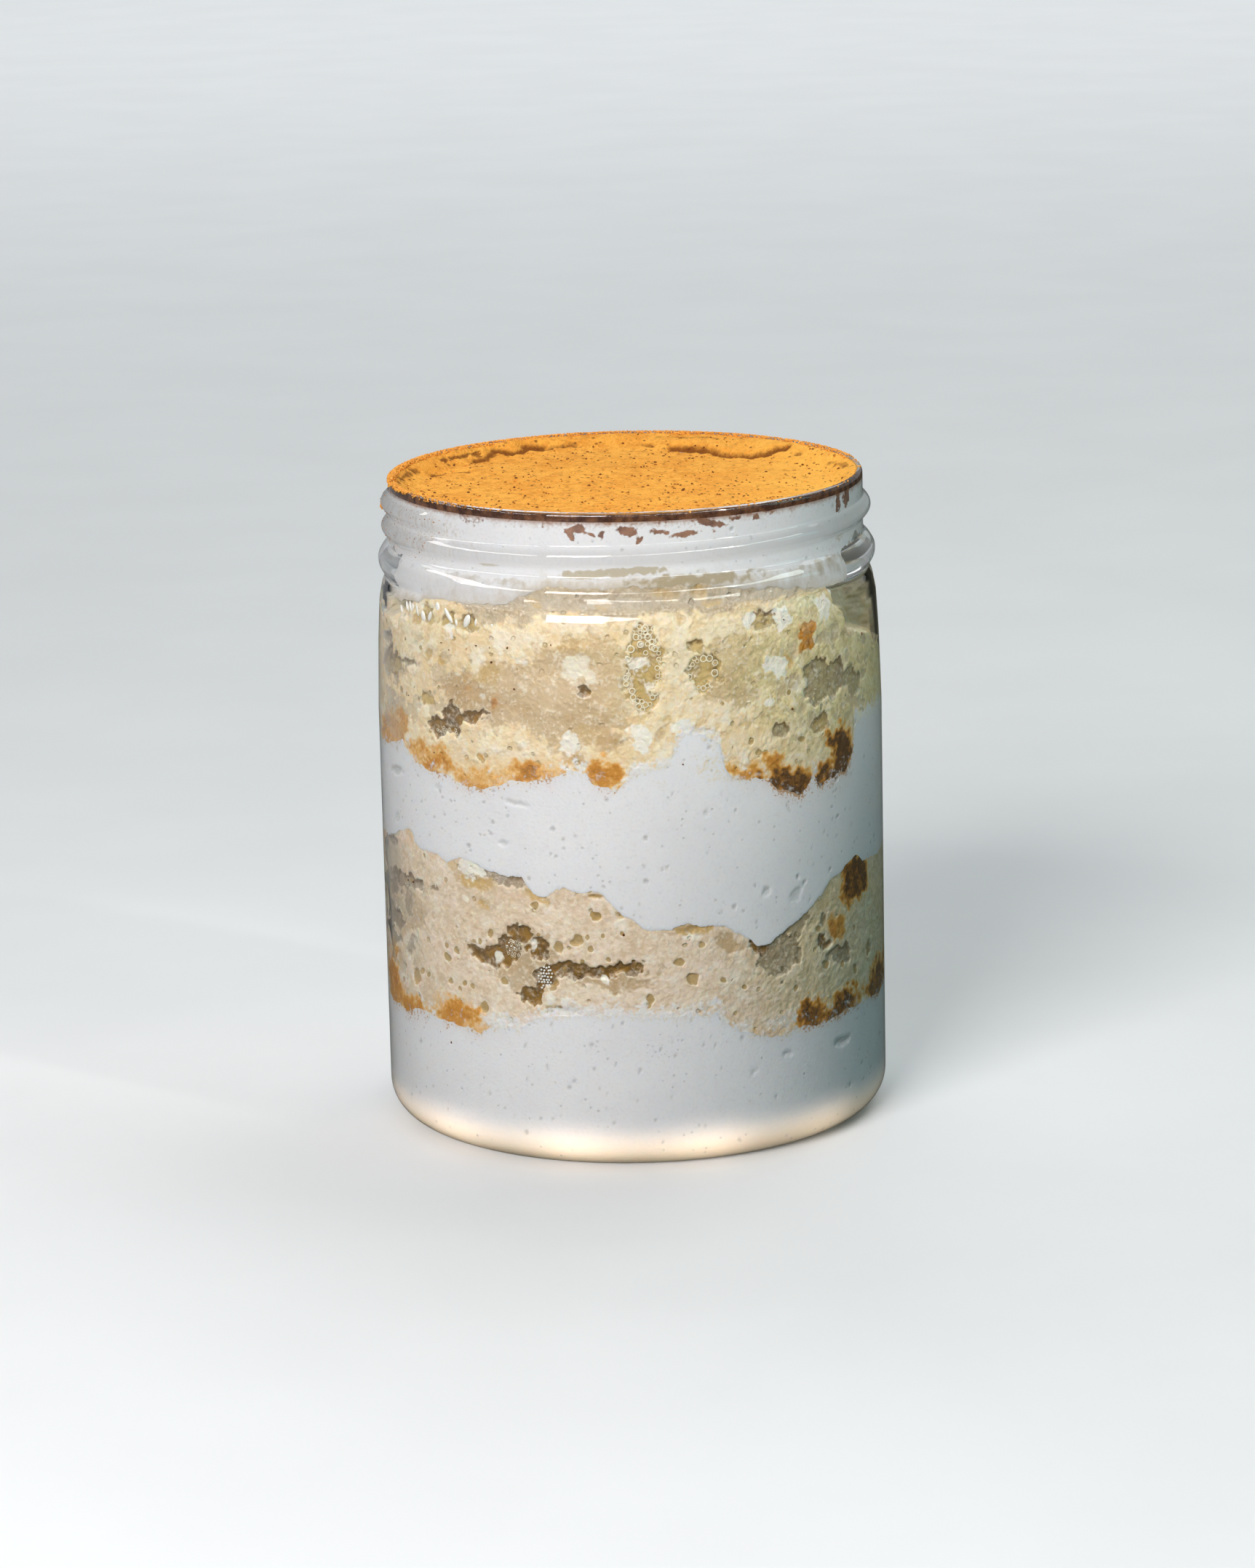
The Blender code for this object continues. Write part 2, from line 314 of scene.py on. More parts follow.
def thinned(line, finest):
    # drops points where the section is nearly straight; finest is the step kept at the neck
    kept = []
    for radius, height in line:
        step = finest if height > jar["neckStretch"] else jar["sparseRow"]
        if height < jar["heelRound"]:
            step = jar["heelRow"]
        if not kept or math.hypot(radius - kept[-1][0], height - kept[-1][1]) >= step:
            kept.append((float(radius), float(height)))
    return kept


def withThread(points):
    angle = np.degrees(np.arctan2(points[:, 0], -points[:, 1]))
    radius, height = np.hypot(points[:, 0], points[:, 1]), points[:, 2]
    outside = radius > boreRadius(height) + 0.5 * jar["neckWall"]
    onNeck = outside & (height > jar["neckFootHeight"] - 1.5) & (height < jar["height"] - 0.2)
    radius = radius + np.where(onNeck, threadRise(angle, height), 0.0)
    return aroundJar(angle, radius, height), {}


def makeClearPlastic():
    bench = Bench("clearPlastic")
    waves = bench.grain(9.0, 1.0)
    plastic = bench.principled({
        "Base Color": (0.965, 0.985, 0.98, 1.0), "Roughness": 0.03, "IOR": 1.45,
        "Transmission Weight": 1.0, "Normal": bench.bump(waves, 0.25, 0.5)})
    return bench.finishClear(plastic)


def makeJar():
    rise = [(radius, float(baseRise(radius))) for radius in (0.0, 6.0, 12.0, 18.0, 24.0, 30.0)]
    outside = easedLine([(jar["footInnerRadius"], 0.0)] + outerWall(), jar["rowHeight"], 3)
    inside = easedLine(innerWall(), jar["rowHeight"], 6)
    floor = [(radius, height + jar["bodyWall"]) for radius, height in reversed(rise)]
    section = rise + thinned(outside, 0.0) + thinned(inside, jar["innerRow"]) + floor
    return madePiece(turned(section, jar["sides"]), "jarWall", makeClearPlastic(),
                     ["jar"], withThread)


jarWall = makeJar()

# where the layers meet at the wall: (angle, height)
meetingHeights = {
    "lowerFloor": [
        (-75, 23.0), (-65, 23.2), (-60, 24.6), (-53, 24.5), (-45, 24.0), (-38, 23.5), (-34, 25.0),
        (-27, 25.5), (-25, 27.0), (-20, 28.0), (-10, 28.8), (0, 28.5), (5, 28.0), (18, 27.8),
        (22, 25.0), (28, 23.0), (32, 21.8), (40, 23.0), (45, 22.2), (56, 23.2), (70, 23.2),
        (75, 22.6), (100, 24.0), (130, 27.0), (160, 26.0), (190, 23.5), (220, 22.5), (255, 24.5)],
    "lowerTop": [
        (-75, 54.5), (-66, 57.0), (-62, 57.4), (-58, 55.0), (-50, 54.6), (-47, 53.9), (-44, 55.0),
        (-40, 55.0), (-35, 53.8), (-30, 53.0), (-26, 53.2), (-23, 50.3), (-20, 50.2), (-16, 52.0),
        (-13, 51.0), (-8, 51.5), (-6, 50.0), (-3, 47.2), (0, 46.0), (2, 44.5), (4, 44.0),
        (13, 44.8), (20, 43.8), (24, 42.2), (28, 39.6), (30, 39.4), (33, 40.0), (37, 41.9),
        (42, 43.5), (44, 45.0), (47, 46.2), (50, 48.5), (56, 49.8), (61, 51.4), (65, 49.2),
        (75, 49.0), (95, 50.0), (120, 54.0), (150, 51.0), (180, 46.0), (210, 45.0), (240, 50.0),
        (265, 53.5)],
    "upperFloor": [
        (-75, 71.8), (-67, 73.0), (-64, 73.8), (-60, 71.5), (-53, 70.0), (-45, 69.8), (-40, 68.5),
        (-35, 68.5), (-32, 69.5), (-27, 70.8), (-18, 71.5), (-14, 73.0), (-10, 73.0), (-9, 71.0),
        (-4, 69.5), (0, 72.0), (3, 73.0), (7, 73.8), (9, 75.0), (10.5, 77.5), (12, 79.2),
        (16, 79.0), (20, 77.0), (21, 73.0), (23, 70.5), (31, 69.5), (35, 67.3), (41, 65.5),
        (45, 68.5), (47, 66.0), (51, 67.2), (57, 67.8), (60, 70.0), (61.5, 75.5), (75, 76.0),
        (100, 73.0), (130, 69.0), (160, 71.0), (180, 74.0), (210, 72.0), (240, 69.0),
        (265, 70.5)],
    "upperTop": [
        (-75, 98.5), (-60, 99.5), (-50, 101.4), (-40, 101.2), (-30, 102.2), (-26, 103.4),
        (-19, 104.8), (17, 104.8), (25, 104.0), (30, 103.5), (40, 103.0), (52, 101.8), (75, 101.0),
        (100, 102.0), (130, 103.5), (160, 104.5), (180, 104.0), (210, 103.0), (240, 101.0),
        (265, 99.0)],
}
layers = {
    "sides": 720, "crowd": 0.45, "press": 0.06, "creamOver": 0.04, "tuck": 0.7,
    "lapRings": (0.0, 0.5, 0.8, 0.92, 0.985), "fadeReach": 0.4, "lineStep": 0.25, "lineJag": 0.42,
}


class MeetingLine:
    # The height at which two layers meet, with the small jags of torn crumb.
    def __init__(self, name, seed):
        points = np.array(meetingHeights[name])
        self.angles = np.arange(-180.0, 180.0, layers["lineStep"])
        self.middle = float(points[:, 1].mean())
        places = aroundJar(self.angles, bodyBore, np.zeros_like(self.angles))
        jags = layered(places, [(2.6, 1.0), (1.2, 0.8), (0.55, 0.6)], seed)
        smooth = np.interp(self.angles, points[:, 0], points[:, 1], period=360.0)
        self.heights = smooth + layers["lineJag"] * jags

    def at(self, angle, share, lift=0.0):
        edge = np.interp(angle, self.angles, self.heights, period=360.0)
        return self.middle + (edge - self.middle) * share ** 2 + lift


lowerFloor = MeetingLine("lowerFloor", 1)
lowerTop = MeetingLine("lowerTop", 2)
upperFloor = MeetingLine("upperFloor", 3)
upperTop = MeetingLine("upperTop", 4)


class Side:
    # The points of a layer, on which marks are drawn by their place at the wall.
    def __init__(self, points, low, high, seed):
        self.share = np.hypot(points[:, 0], points[:, 1])
        self.angle = np.degrees(np.arctan2(points[:, 0], -points[:, 1]))
        self.bottom = low(self.angle, self.share)
        self.top = high(self.angle, self.share)
        self.height = self.bottom + (self.top - self.bottom) * points[:, 2]
        self.place = aroundJar(self.angle, bodyBore * self.share, self.height)
        self.ragged = layered(self.place, [(2.8, 0.5), (1.3, 0.45), (0.62, 0.4)], seed)
        # how far the drawn ovals are pulled out of shape, sideways and upwards
        self.pulled = [layered(self.place, [(4.2, 1.5), (1.9, 1.1), (0.9, 0.7)], seed + 20 + 10 * way)
                       for way in (0, 1)]

    def inside(self, spot, lift=0.0):
        # millimetres inside the edge of an oval, and its half width; the oval is given by its
        # left and right angle, its lower and upper height, and its lean
        fromAngle, toAngle, fromHeight, toHeight = spot[:4]
        lean = math.radians(spot[4]) if len(spot) > 4 else 0.0
        toArc = math.radians(1.0) * bodyBore
        wide, tall = 0.5 * (toAngle - fromAngle) * toArc, 0.5 * (toHeight - fromHeight)
        half = min(wide, tall)
        pull = min(half / 2.4, 1.0)
        across = angleApart(self.angle, 0.5 * (fromAngle + toAngle)) * toArc + pull * self.pulled[0]
        up = self.height - 0.5 * (fromHeight + toHeight) + pull * self.pulled[1] + lift
        along = across * math.cos(lean) + up * math.sin(lean)
        over = up * math.cos(lean) - across * math.sin(lean)
        return (1.0 - np.hypot(along / wide, over / tall)) * half, half

    def drawn(self, spots, soft, jag, lift=0.0):
        # a mark from 0 to 1 over all these ovals; a sixth number is an oval's strength
        mark = np.zeros(len(self.angle))
        for spot in spots:
            strength = spot[5] if len(spot) > 5 else 1.0
            inside, half = self.inside(spot, lift)
            reach = 0.5 + (inside + min(jag, 0.9 * half) * self.ragged) / min(soft, 1.4 * half)
            mark = np.maximum(mark, strength * smoothShare(reach))
        return mark

    def formed(self, depth, press):
        # the layer's points, set back from the wall by depth
        fade = np.clip((self.share - 1.0 + layers["fadeReach"]) / layers["fadeReach"], 0.0, 1.0)
        radius = self.share * (boreRadius(self.height) + press) - fade * depth
        return aroundJar(self.angle, radius, self.height)


def drum(levels, lowRings, highRings, sides):
    outline = [(ring, 0.0) for ring in lowRings] + [(1.0, float(level)) for level in levels]
    return turned(outline + [(ring, 1.0) for ring in reversed(highRings)], sides, layers["crowd"])


# the soaked cake
cakeMarks = {
    # depth in millimetres, softness of the edge and how far it strays
    "pocket": {"depth": 0.5, "soft": 0.8, "jag": 1.2},
    "amber": {"depth": 0.4, "soft": 1.2, "jag": 1.2},
    "shaded": {"depth": 0.15, "soft": 1.5, "jag": 1.4},
    "recess": {"depth": 0.25, "soft": 1.0, "jag": 1.4},
    "toast": {"depth": 0.0, "soft": 0.9, "jag": 0.9},
    "soaked": {"depth": 0.1, "soft": 2.8, "jag": 3.0},
    "golden": {"depth": 0.2, "soft": 1.8, "jag": 1.7},
    "browned": {"depth": 0.0, "soft": 3.2, "jag": 2.4},
    "milky": {"depth": 0.0, "soft": 1.3, "jag": 1.5},
    "film": {"depth": 0.0, "soft": 5.0, "jag": 3.4},
    "haze": {"depth": 0.0, "soft": 3.0, "jag": 1.4},
    "olive": {"depth": 0.0, "soft": 9.0, "jag": 5.0},
    "disc": {"depth": 0.0, "soft": 1.8, "jag": 1.2},
}
# how strong the shaded strip under the upper edge of a hollow is
brows = {"pocket": 1.0, "recess": 0.7, "amber": 0.7, "golden": 0.4, "soaked": 0.25}
lowerCake = {
    "rows": 108, "seed": 20, "holes": 34,
    "folds": 0.4, "foldColour": (0.80, 0.63, 0.42), "foldShadow": (0.56, 0.40, 0.20),
    "base": (0.88, 0.72, 0.57), "deep": (0.74, 0.56, 0.38), "mottle": (0.62, 0.46, 0.27),
    "wet": (0.56, 0.41, 0.25), "damp": (0.68, 0.51, 0.33),
    "haze": [],
    "amber": [(-27.5, -21, 29.4, 33.6, 25), (-20.5, -12.8, 28.2, 30.2, 0, 0.7),
              (-40.5, -35, 36.8, 38.4, -25)],
    "pocket": [
        (-32.5, -25.5, 36.8, 42.0), (-29, -23.5, 40.4, 44.2), (-24.5, -20, 38.6, 42.4, -35),
        (-24, -17.5, 32.8, 37.8), (-20, -10, 34.8, 38.2), (-13, -4.6, 35.4, 37.8),
        (-7, 1.8, 35.8, 38.4, 8), (-41, -34.6, 36.6, 38.8, -25, 0.8),
        (-37, -31, 36.6, 39.6, 20, 0.9), (-27.5, -21, 29.4, 33.8, 25, 0.9),
        (25, 31.5, 38.2, 40.6, -20, 0.8), (46, 48.5, 36.5, 39.3, 20, 0.8),
        (47.5, 51, 36.3, 37.5, 0, 0.7)],
    "shaded": [
        (-38, -24, 34.8, 38.4, 0, 0.6), (-13, 2, 33.0, 36.6, 0, 0.6),
        (-20, -12, 28.4, 30.4, 0, 0.5), (19, 24, 37.6, 42, 30, 0.9),
        (7.6, 17.8, 42.8, 45.0, 4, 1.0), (26, 34, 37.4, 41.2, 0, 0.5), (-82, -64, 44, 56, 0, 0.5),
        (-84, -72, 36, 48, 0, 0.5), (-46, -37, 50.6, 53, 0, 0.7), (38, 52, 42, 49, 45, 0.6),
        (46, 52, 36.4, 42, 20, 0.5), (200, 215, 34, 42, 0, 0.6)],
    "recess": [
        (29, 40, 33, 41.4), (36, 44, 40.5, 43.4, 30, 0.7), (49.5, 58, 32.8, 35.8, -12),
        (46.8, 48.6, 40.6, 43.2), (-78, -67, 38, 41.6), (-78, -68.5, 43.8, 46.2),
        (-76, -54, 46.2, 49.2), (-78, -68, 53, 54.8), (-39, -25.5, 51.6, 54.2, -8, 0.8),
        (-66, -61, 42, 46, 0, 0.5), (-82, -70, 33.4, 37, 0, 0.8), (-66, -58, 34.6, 37.6, 40, 0.5),
        (30, 42, 41, 46, 40, 0.6)],
    "clusters": {
        "pocket": [(110, 38, 6, 5), (150, 33, 7, 5), (195, 38, 7, 6), (240, 36, 7, 5), (172, 44, 4, 3)],
        "recess": [(92, 40, 6, 4), (176, 32, 5, 3), (219, 42, 5, 3), (262, 46, 6, 4), (128, 46, 5, 3)],
        "golden": [(120, 46, 6, 4), (205, 34, 5, 4), (160, 40, 5, 3), (250, 44, 5, 3)],
        "milky": [(104, 33, 4, 3), (140, 40, 4, 3), (186, 34, 4, 3), (228, 38, 4, 3), (258, 36, 3, 2)],
    },
    "soaked": [
        (-33, -17, 33, 44, -20), (-20, 2, 33.6, 38.6), (-78, -56, 36, 50, 0, 0.6),
        (-45, -30, 45, 52, 0, 0.4), (28, 60, 26, 32, 0, 0.4), (45, 66, 40, 50, 0, 0.5),
        (100, 120, 33, 44), (140, 160, 29, 38), (186, 205, 34, 44), (228, 252, 30, 42)],
    "golden": [
        (-43, -33.5, 50.2, 52.4), (-38, -33.6, 46.6, 48.6, 0, 0.8), (-26, -18, 48.7, 50.7, -14),
        (-10.2, -7.6, 46, 47.6), (-10.5, -7.5, 50.2, 51), (-4.8, -2.6, 46.4, 48.2, -50),
        (1, 4, 44.8, 45.8, -35), (8.5, 16.8, 42.8, 44.6, 4), (-48, -40, 52, 54.8, 0, 0.5),
        (-20.5, -12.8, 28.2, 29.8, 0, 0.6), (-27, -22, 30, 33.4, 25, 0.8)],
    "browned": [
        (-84, -66, 22, 31, -30, 0.66), (-72, -56, 21.4, 26.2, 0, 0.7),
        (-53.5, -37, 22.8, 29.0, 0, 0.66), (-44, -32, 21.6, 25.2, 0, 0.45),
        (-80, -70, 31, 34.6, 0, 0.6), (25, 41, 20.4, 24.6, 0, 0.32),
        (38.5, 48, 20.6, 28.4, 40, 0.88), (44, 63, 21.2, 27.0, 6, 0.92),
        (66, 84, 21.2, 29.4, 0, 0.9), (54.4, 66.6, 42.0, 52.4, 50, 0.92),
        (49.4, 56.2, 36.4, 42, 0, 0.66), (-66, -57, 55, 58, 0, 0.25), (-52, -43, 53.6, 55, 0, 0.3),
        (95, 120, 23, 27.5), (150, 172, 25, 29), (196, 226, 21.6, 26.5), (244, 262, 23.6, 28)],
    "toast": [(-74, -70, 31.6, 33.8, 20, 0.8), (-0.4, 1.4, 27.6, 28.6, 0, 0.5)],
    "milky": [
        (-43.2, -35.8, 51.6, 56.0), (-8.6, -6.4, 34.4, 36.2, -30), (-33.6, -31.4, 37.2, 38.8),
        (-24.2, -22.9, 39.9, 42.1), (-21, -18.6, 30.4, 32.4), (-17.6, -14.6, 30.4, 32.6),
        (-42.4, -39.4, 46.6, 48.6, 0, 0.6), (10, 15, 41.9, 43.1, 0, 0.7)],
    "film": [
        (-16, -4, 31.2, 34.6, 0, 0.8), (-24, -12, 28, 31.4, 0, 0.7), (-60, -40, 44, 46.6, 0, 0.5),
        (-38, -22, 33.5, 37, 0, 0.5), (16, 28, 33, 38.5, 0, 0.6), (8, 20, 28.5, 32, 0, 0.6),
        (-66, -56, 26.6, 29.4, 0, 0.7), (120, 136, 40, 48), (255, 275, 40, 46)],
    "namedHoles": [
        (-17.5, 41.2, 1.05), (-13.5, 42.5, 1.0), (-9, 46.8, 1.0), (-9.9, 41, 0.55),
        (-47.5, 36.1, 0.7), (-44.5, 38, 0.7), (-37.5, 40.5, 0.6), (-34.6, 42.2, 0.75),
        (-60.5, 30.7, 1.4), (-57.8, 32.1, 0.8), (-55, 31.8, 0.6), (-46.8, 31.8, 0.65),
        (-42.3, 32, 0.6), (-37, 28.5, 1.1), (-30, 26.5, 0.7), (-44, 28.4, 0.5), (0.2, 37.8, 0.8),
        (9.5, 38, 0.7), (12.4, 34.8, 1.0), (3, 31.4, 0.8), (14.8, 41, 0.6), (24.8, 32.5, 0.6),
        (48.3, 33, 0.8), (38.4, 30.4, 0.6), (60.5, 30, 0.9), (67.5, 32.6, 1.3), (-6.3, 39, 0.5),
        (-12, 38.4, 0.4), (-22, 43, 0.4), (-47.8, 38.3, 0.5), (-30.8, 34, 0.8), (-65, 47.6, 0.5),
        (-62.2, 47.9, 0.5), (-10.8, 43, 0.4), (-7.2, 43.4, 0.4), (-3, 43.6, 0.35)],
    "gaps": [], "disc": [],
    "olive": [(30, 90, 22, 52, 0, 0.6), (110, 150, 24, 50, 0, 0.4)],
    "loose": [(-88, -54, 30, 56), (50, 72, 28, 44, 0, 0.4), (90, 130, 30, 50), (190, 230, 28, 44)],
}
upperCake = {
    "rows": 128, "seed": 40, "holes": 5,
    "folds": 1.0, "foldColour": (0.84, 0.62, 0.34), "foldShadow": (0.62, 0.42, 0.17),
    "base": (0.97, 0.82, 0.56), "deep": (0.86, 0.64, 0.36), "mottle": (0.76, 0.56, 0.30),
    "wet": (0.60, 0.43, 0.24), "damp": (0.71, 0.52, 0.31),
    "amber": [(-56, -49, 96.2, 99.6, 0, 0.6), (-48, -42.4, 95.8, 99.4, 0, 0.8),
              (-42.6, -36.4, 95.6, 99.0, 0, 0.9), (-1.6, 6.8, 84.0, 98.8), (13.4, 17.6, 93.7, 96.4),
              (13, 20.4, 86.6, 93.2, 0, 0.8), (-2, 1, 87, 89.6), (-56.5, -51, 81.6, 84.8, 25, 0.8),
              (29, 37, 96.4, 99, 0, 0.6), (46, 51, 75.4, 79, -10, 0.6),
              (-76, -64, 85.4, 89.4, 6, 1.0)],
    "haze": [(-60, 64, 100.2, 108.0, 0), (64, 110, 96, 104, 0, 0.6), (-110, -60, 98, 104, 0, 0.6),
             (-46, -16, 98.8, 106, 0, 0.9), (100, 260, 99.5, 107, 0, 0.6)],
    "pocket": [
        (-51.8, -45.5, 76.6, 81.0), (-48, -41, 77.8, 82.8, 22), (-42.5, -34.5, 80.4, 82.4, 14),
        (-11.6, -9.2, 86.3, 88.3, 30, 0.9)],
    "clusters": {
        "pocket": [(112, 88, 7, 5), (141, 81, 6, 4), (179, 90, 8, 6), (210, 84, 7, 5), (246, 92, 6, 4)],
        "recess": [(95, 83, 7, 4), (157, 94, 6, 4), (227, 79, 6, 4), (262, 86, 6, 4)],
        "golden": [(126, 95, 6, 4), (192, 80, 7, 4), (260, 94, 5, 3), (166, 84, 6, 4), (232, 90, 5, 3)],
        "milky": [(122, 83, 5, 3), (150, 88, 5, 3), (200, 93, 5, 3), (236, 84, 5, 3), (100, 92, 4, 2)],
        "toast": [(134, 93, 2.5, 2), (218, 92, 2.5, 2)],
        "disc": [(165, 78, 6, 2), (216, 76, 6, 2), (106, 78, 6, 2)],
    },
    "recess": [
        (43.4, 52, 80.6, 90), (50, 58, 81.5, 88.6), (57, 64.5, 80.4, 85.8), (-76, -63, 85, 89.6, 6),
        (-63, -56.4, 87.8, 89.4, 0, 0.8), (-77, -70, 90.4, 92.4), (29, 37, 96.4, 99),
        (33.4, 38.6, 76.2, 78.9, 25, 0.9), (45.4, 51.2, 75.4, 79.2, -10, 0.8),
        (-66, -61, 75, 80, 30, 0.5)],
    "soaked": [
        (-38, -18, 80, 91.6, 12), (-27, 1, 76.6, 96), (-16, 0, 84, 96.6), (16.5, 33, 84, 95, -32),
        (-76, -61, 73, 82, 20), (-76, -62, 84, 90), (-48, -30, 81.5, 88.5, 8, 0.7),
        (-12, 9, 99.6, 105.4, 0, 0.8), (12, 40, 99, 104.6, 0, 0.6), (-46, -20, 99, 103.5, 0, 0.7),
        (28, 42, 84, 90, 0, 0.5), (100, 124, 80, 95), (128, 150, 75, 87), (165, 190, 84, 97),
        (198, 220, 76, 91), (234, 256, 85, 98)],
    "golden": [
        (-40, -28.5, 87.4, 90.8, 24, 0.6), (-53.8, -49.6, 89.8, 91.8, 0, 0.8),
        (-49, -46, 89.4, 91.4, 0, 0.8), (-59.4, -55.6, 96.0, 98.0), (-44, -38, 96, 98, -6),
        (-17, -3, 77.2, 81.6, 8, 0.45), (-9, -5.4, 82, 84.2, 0, 0.4), (-2, 7, 84, 99, 0, 0.5),
        (36.6, 40, 88.8, 91.4, 0, 0.8), (24.6, 28.4, 79, 81, 0, 0.6),
        (5.4, 11, 80.8, 82.6, 12, 0.6), (-26, -19, 92.2, 95.4, 0, 0.4),
        (-20, -4, 94.4, 97, 10, 0.5), (-28, -24, 76, 77.4, 0, 0.5),
        (-24, -20, 101.4, 103.6, 0, 0.8), (17, 22.6, 101.6, 103, 0, 0.9),
        (5, 13.6, 102.8, 104.6, 0, 0.7), (14.8, 17.6, 102.8, 104.6), (-7.4, -4, 101.4, 103, 0, 0.6),
        (10, 13, 98.8, 100.6, 0, 0.7), (26, 33, 100.4, 102, 0, 0.7)],
    "browned": [
        (-62, -42, 69.2, 75.2, -10, 0.52), (-55, -45, 68.6, 73.6, 0, 0.7),
        (-46, -27, 66.6, 73.0, -6, 0.5), (-43, -33, 66.6, 70.6, 0, 0.62),
        (-32, -13, 69.6, 74.8, 4, 0.52), (-28, -18, 69.8, 74.0, 0, 0.74),
        (-10.6, -2.2, 68.6, 75.8, -35, 0.68), (-80, -60, 71, 79, 14, 0.6),
        (22, 30, 69.2, 73.2, 0, 0.68), (30.2, 35.6, 71.0, 74.2, 0, 0.68),
        (28, 47, 64.8, 71.0, -14, 0.95), (37, 44, 62.8, 67.8, 0, 0.95),
        (46, 62, 64.4, 71.4, 12, 1.0), (52, 60.4, 66.8, 76.6, 40, 1.0),
        (40, 46.6, 92.0, 97.2, 20, 0.3), (-37.4, -34.2, 73.8, 74.8, -30, 0.5), (92, 112, 72, 76),
        (120, 142, 68.6, 72.6), (166, 190, 72, 76.4), (206, 236, 68.4, 73), (250, 270, 69.6, 73.6)],
    "toast": [
        (41.4, 46.8, 91.6, 96.2, 10), (-0.8, 1.2, 71.8, 73.4, 0, 0.8),
        (-33.2, -30.6, 83.4, 85.2, 20, 0.6), (-40.4, -37.4, 85.2, 86.8, -16, 0.5)],
    "shaded": [
        (-56.5, -50.5, 81.4, 85.2, 25, 0.7), (-9, -2.4, 76.4, 79.6, 14, 0.7),
        (-48, -34, 82.2, 88.0, -16, 1.0), (-77, -63, 84.6, 90.2, 6, 0.8),
        (23.6, 27.6, 88.2, 91.0, 0, 0.9), (17.5, 21.5, 84.6, 87.4, 0, 0.5),
        (29.8, 34.4, 79.4, 81.6, -35, 0.7), (11.8, 18.2, 79.2, 80.2, -8, 0.5),
        (-15.4, -12, 81.6, 83.8, 0, 0.7), (5, 8.6, 78, 82, -60, 0.6), (-35, -28, 82.4, 86, 6, 0.8),
        (-28, -22, 82.6, 85, 0, 0.7), (-15.6, -9.4, 73.2, 76.4, 0, 0.8), (38, 48, 74, 80, 0, 0.4),
        (96, 108, 78, 86, 0, 0.6), (190, 204, 84, 92, 0, 0.6)],
    "milky": [
        (-15.8, -11.2, 76, 79.6, 0, 0.8), (-0.6, 4.4, 77.0, 81.8), (9, 13.4, 79.8, 81.8),
        (32.6, 37.6, 87, 91.6, -40), (35.4, 40.2, 96.2, 99.2, 40), (47.4, 55, 95.8, 99.6, -20),
        (52.6, 59.4, 99.4, 101.6, -30), (-1.6, 4.2, 90.4, 94.2, -20, 0.7),
        (2.6, 6.4, 86.6, 89.6, 0, 0.6), (-3, 0.6, 87, 90, 0, 0.5), (26.8, 30, 97.2, 99, 30),
        (31, 33.6, 82.6, 83.8), (-47, -43, 95.2, 97), (-28.6, -23.6, 91, 93, -20, 0.6),
        (-36.6, -34, 84, 85.6, 0, 0.6), (38.6, 44, 82.6, 87, 0, 0.4)],
    "film": [
        (-16.0, -8.8, 89.0, 95.0, 0, 0.9), (7, 15, 86, 99.6, 0, 0.8), (14, 28, 94.6, 99.6, 0, 0.8),
        (-20, 0, 97, 100, 0, 0.7), (-34, -18, 93.6, 98, 0, 0.8), (-50, -30, 91.6, 96.4, 0, 0.4),
        (6, 32, 82, 86.4, 0, 0.7), (-46, -16, 74, 77.4, 0, 0.7), (-9, 0, 80, 84.4, 0, 0.6),
        (-58, -46, 83, 88, 0, 0.4), (20, 34, 74, 78, 0, 0.4), (-45, -28, 79, 82, 0, 0.5),
        (118, 134, 84, 92), (226, 244, 78, 86)],
    "namedHoles": [
        (-36.2, 74.2, 0.7), (-35, 73.6, 0.5), (41.6, 75.6, 0.6), (29.4, 74.6, 0.6), (31.2, 74.3, 0.5),
        (-64, 83.2, 0.7), (27.6, 76.8, 0.6), (38, 84.4, 0.5), (21, 84, 0.4)],
    "gaps": [(72, 98.5, 16, 9, 8.0), (82, 93, 11, 7, 5.0), (63, 101.5, 9, 5, 4.0),
             (-74, 101, 16, 7, 3.0), (128, 99, 8, 3, 1.5), (222, 98, 9, 3, 1.5)],
    "disc": [(-15.6, -9.2, 89.2, 94.4), (-10.0, -7.4, 88.4, 90.6), (-29, -21, 76, 79, 0, 0.4),
             (-46, -36, 72.8, 75, 0, 0.5), (-42, -30, 76.4, 79, -14, 0.5), (-2, 4, 83, 86, 0, 0.5)],
    "olive": [(26, 90, 72, 104), (6, 40, 88, 100, 0, 0.5), (-6, 10, 84, 100, 0, 0.35),
              (150, 200, 76, 100, 0, 0.4)],
    "loose": [(36, 70, 74, 98), (-64, -38, 76, 93, 0, 0.8), (100, 150, 76, 98), (200, 240, 76, 96)],
}


def gapDepth(side, gaps):
    # room left between the layer and the wall: (angle, height, half width, half height, depth)
    deepest = np.zeros(len(side.angle))
    for angle, height, wide, tall, depth in gaps:
        reach = np.hypot((angleApart(side.angle, angle) + 1.6 * side.pulled[0]) / wide,
                         (side.height - height + 1.1 * side.pulled[1]) / tall)
        edge = 1.0 - reach + 0.03 * side.ragged
        deepest = np.maximum(deepest, depth * smoothShare(2.1 * edge))
    return deepest


def cluster(draw, angle, height, reach, count):
    # overlapping ovals about one place, for the hollows and lumps round the back
    toAngle = math.degrees(1.0 / bodyBore)
    for _ in range(count):
        middle = angle + draw.gauss(0.0, 0.5) * reach * toAngle
        up = height + draw.gauss(0.0, 0.35) * reach
        wide, tall = draw.uniform(0.3, 0.7) * reach * toAngle, draw.uniform(0.14, 0.36) * reach
        yield (middle - wide, middle + wide, up - tall, up + tall,
               draw.uniform(-40.0, 40.0), draw.uniform(0.75, 1.0))


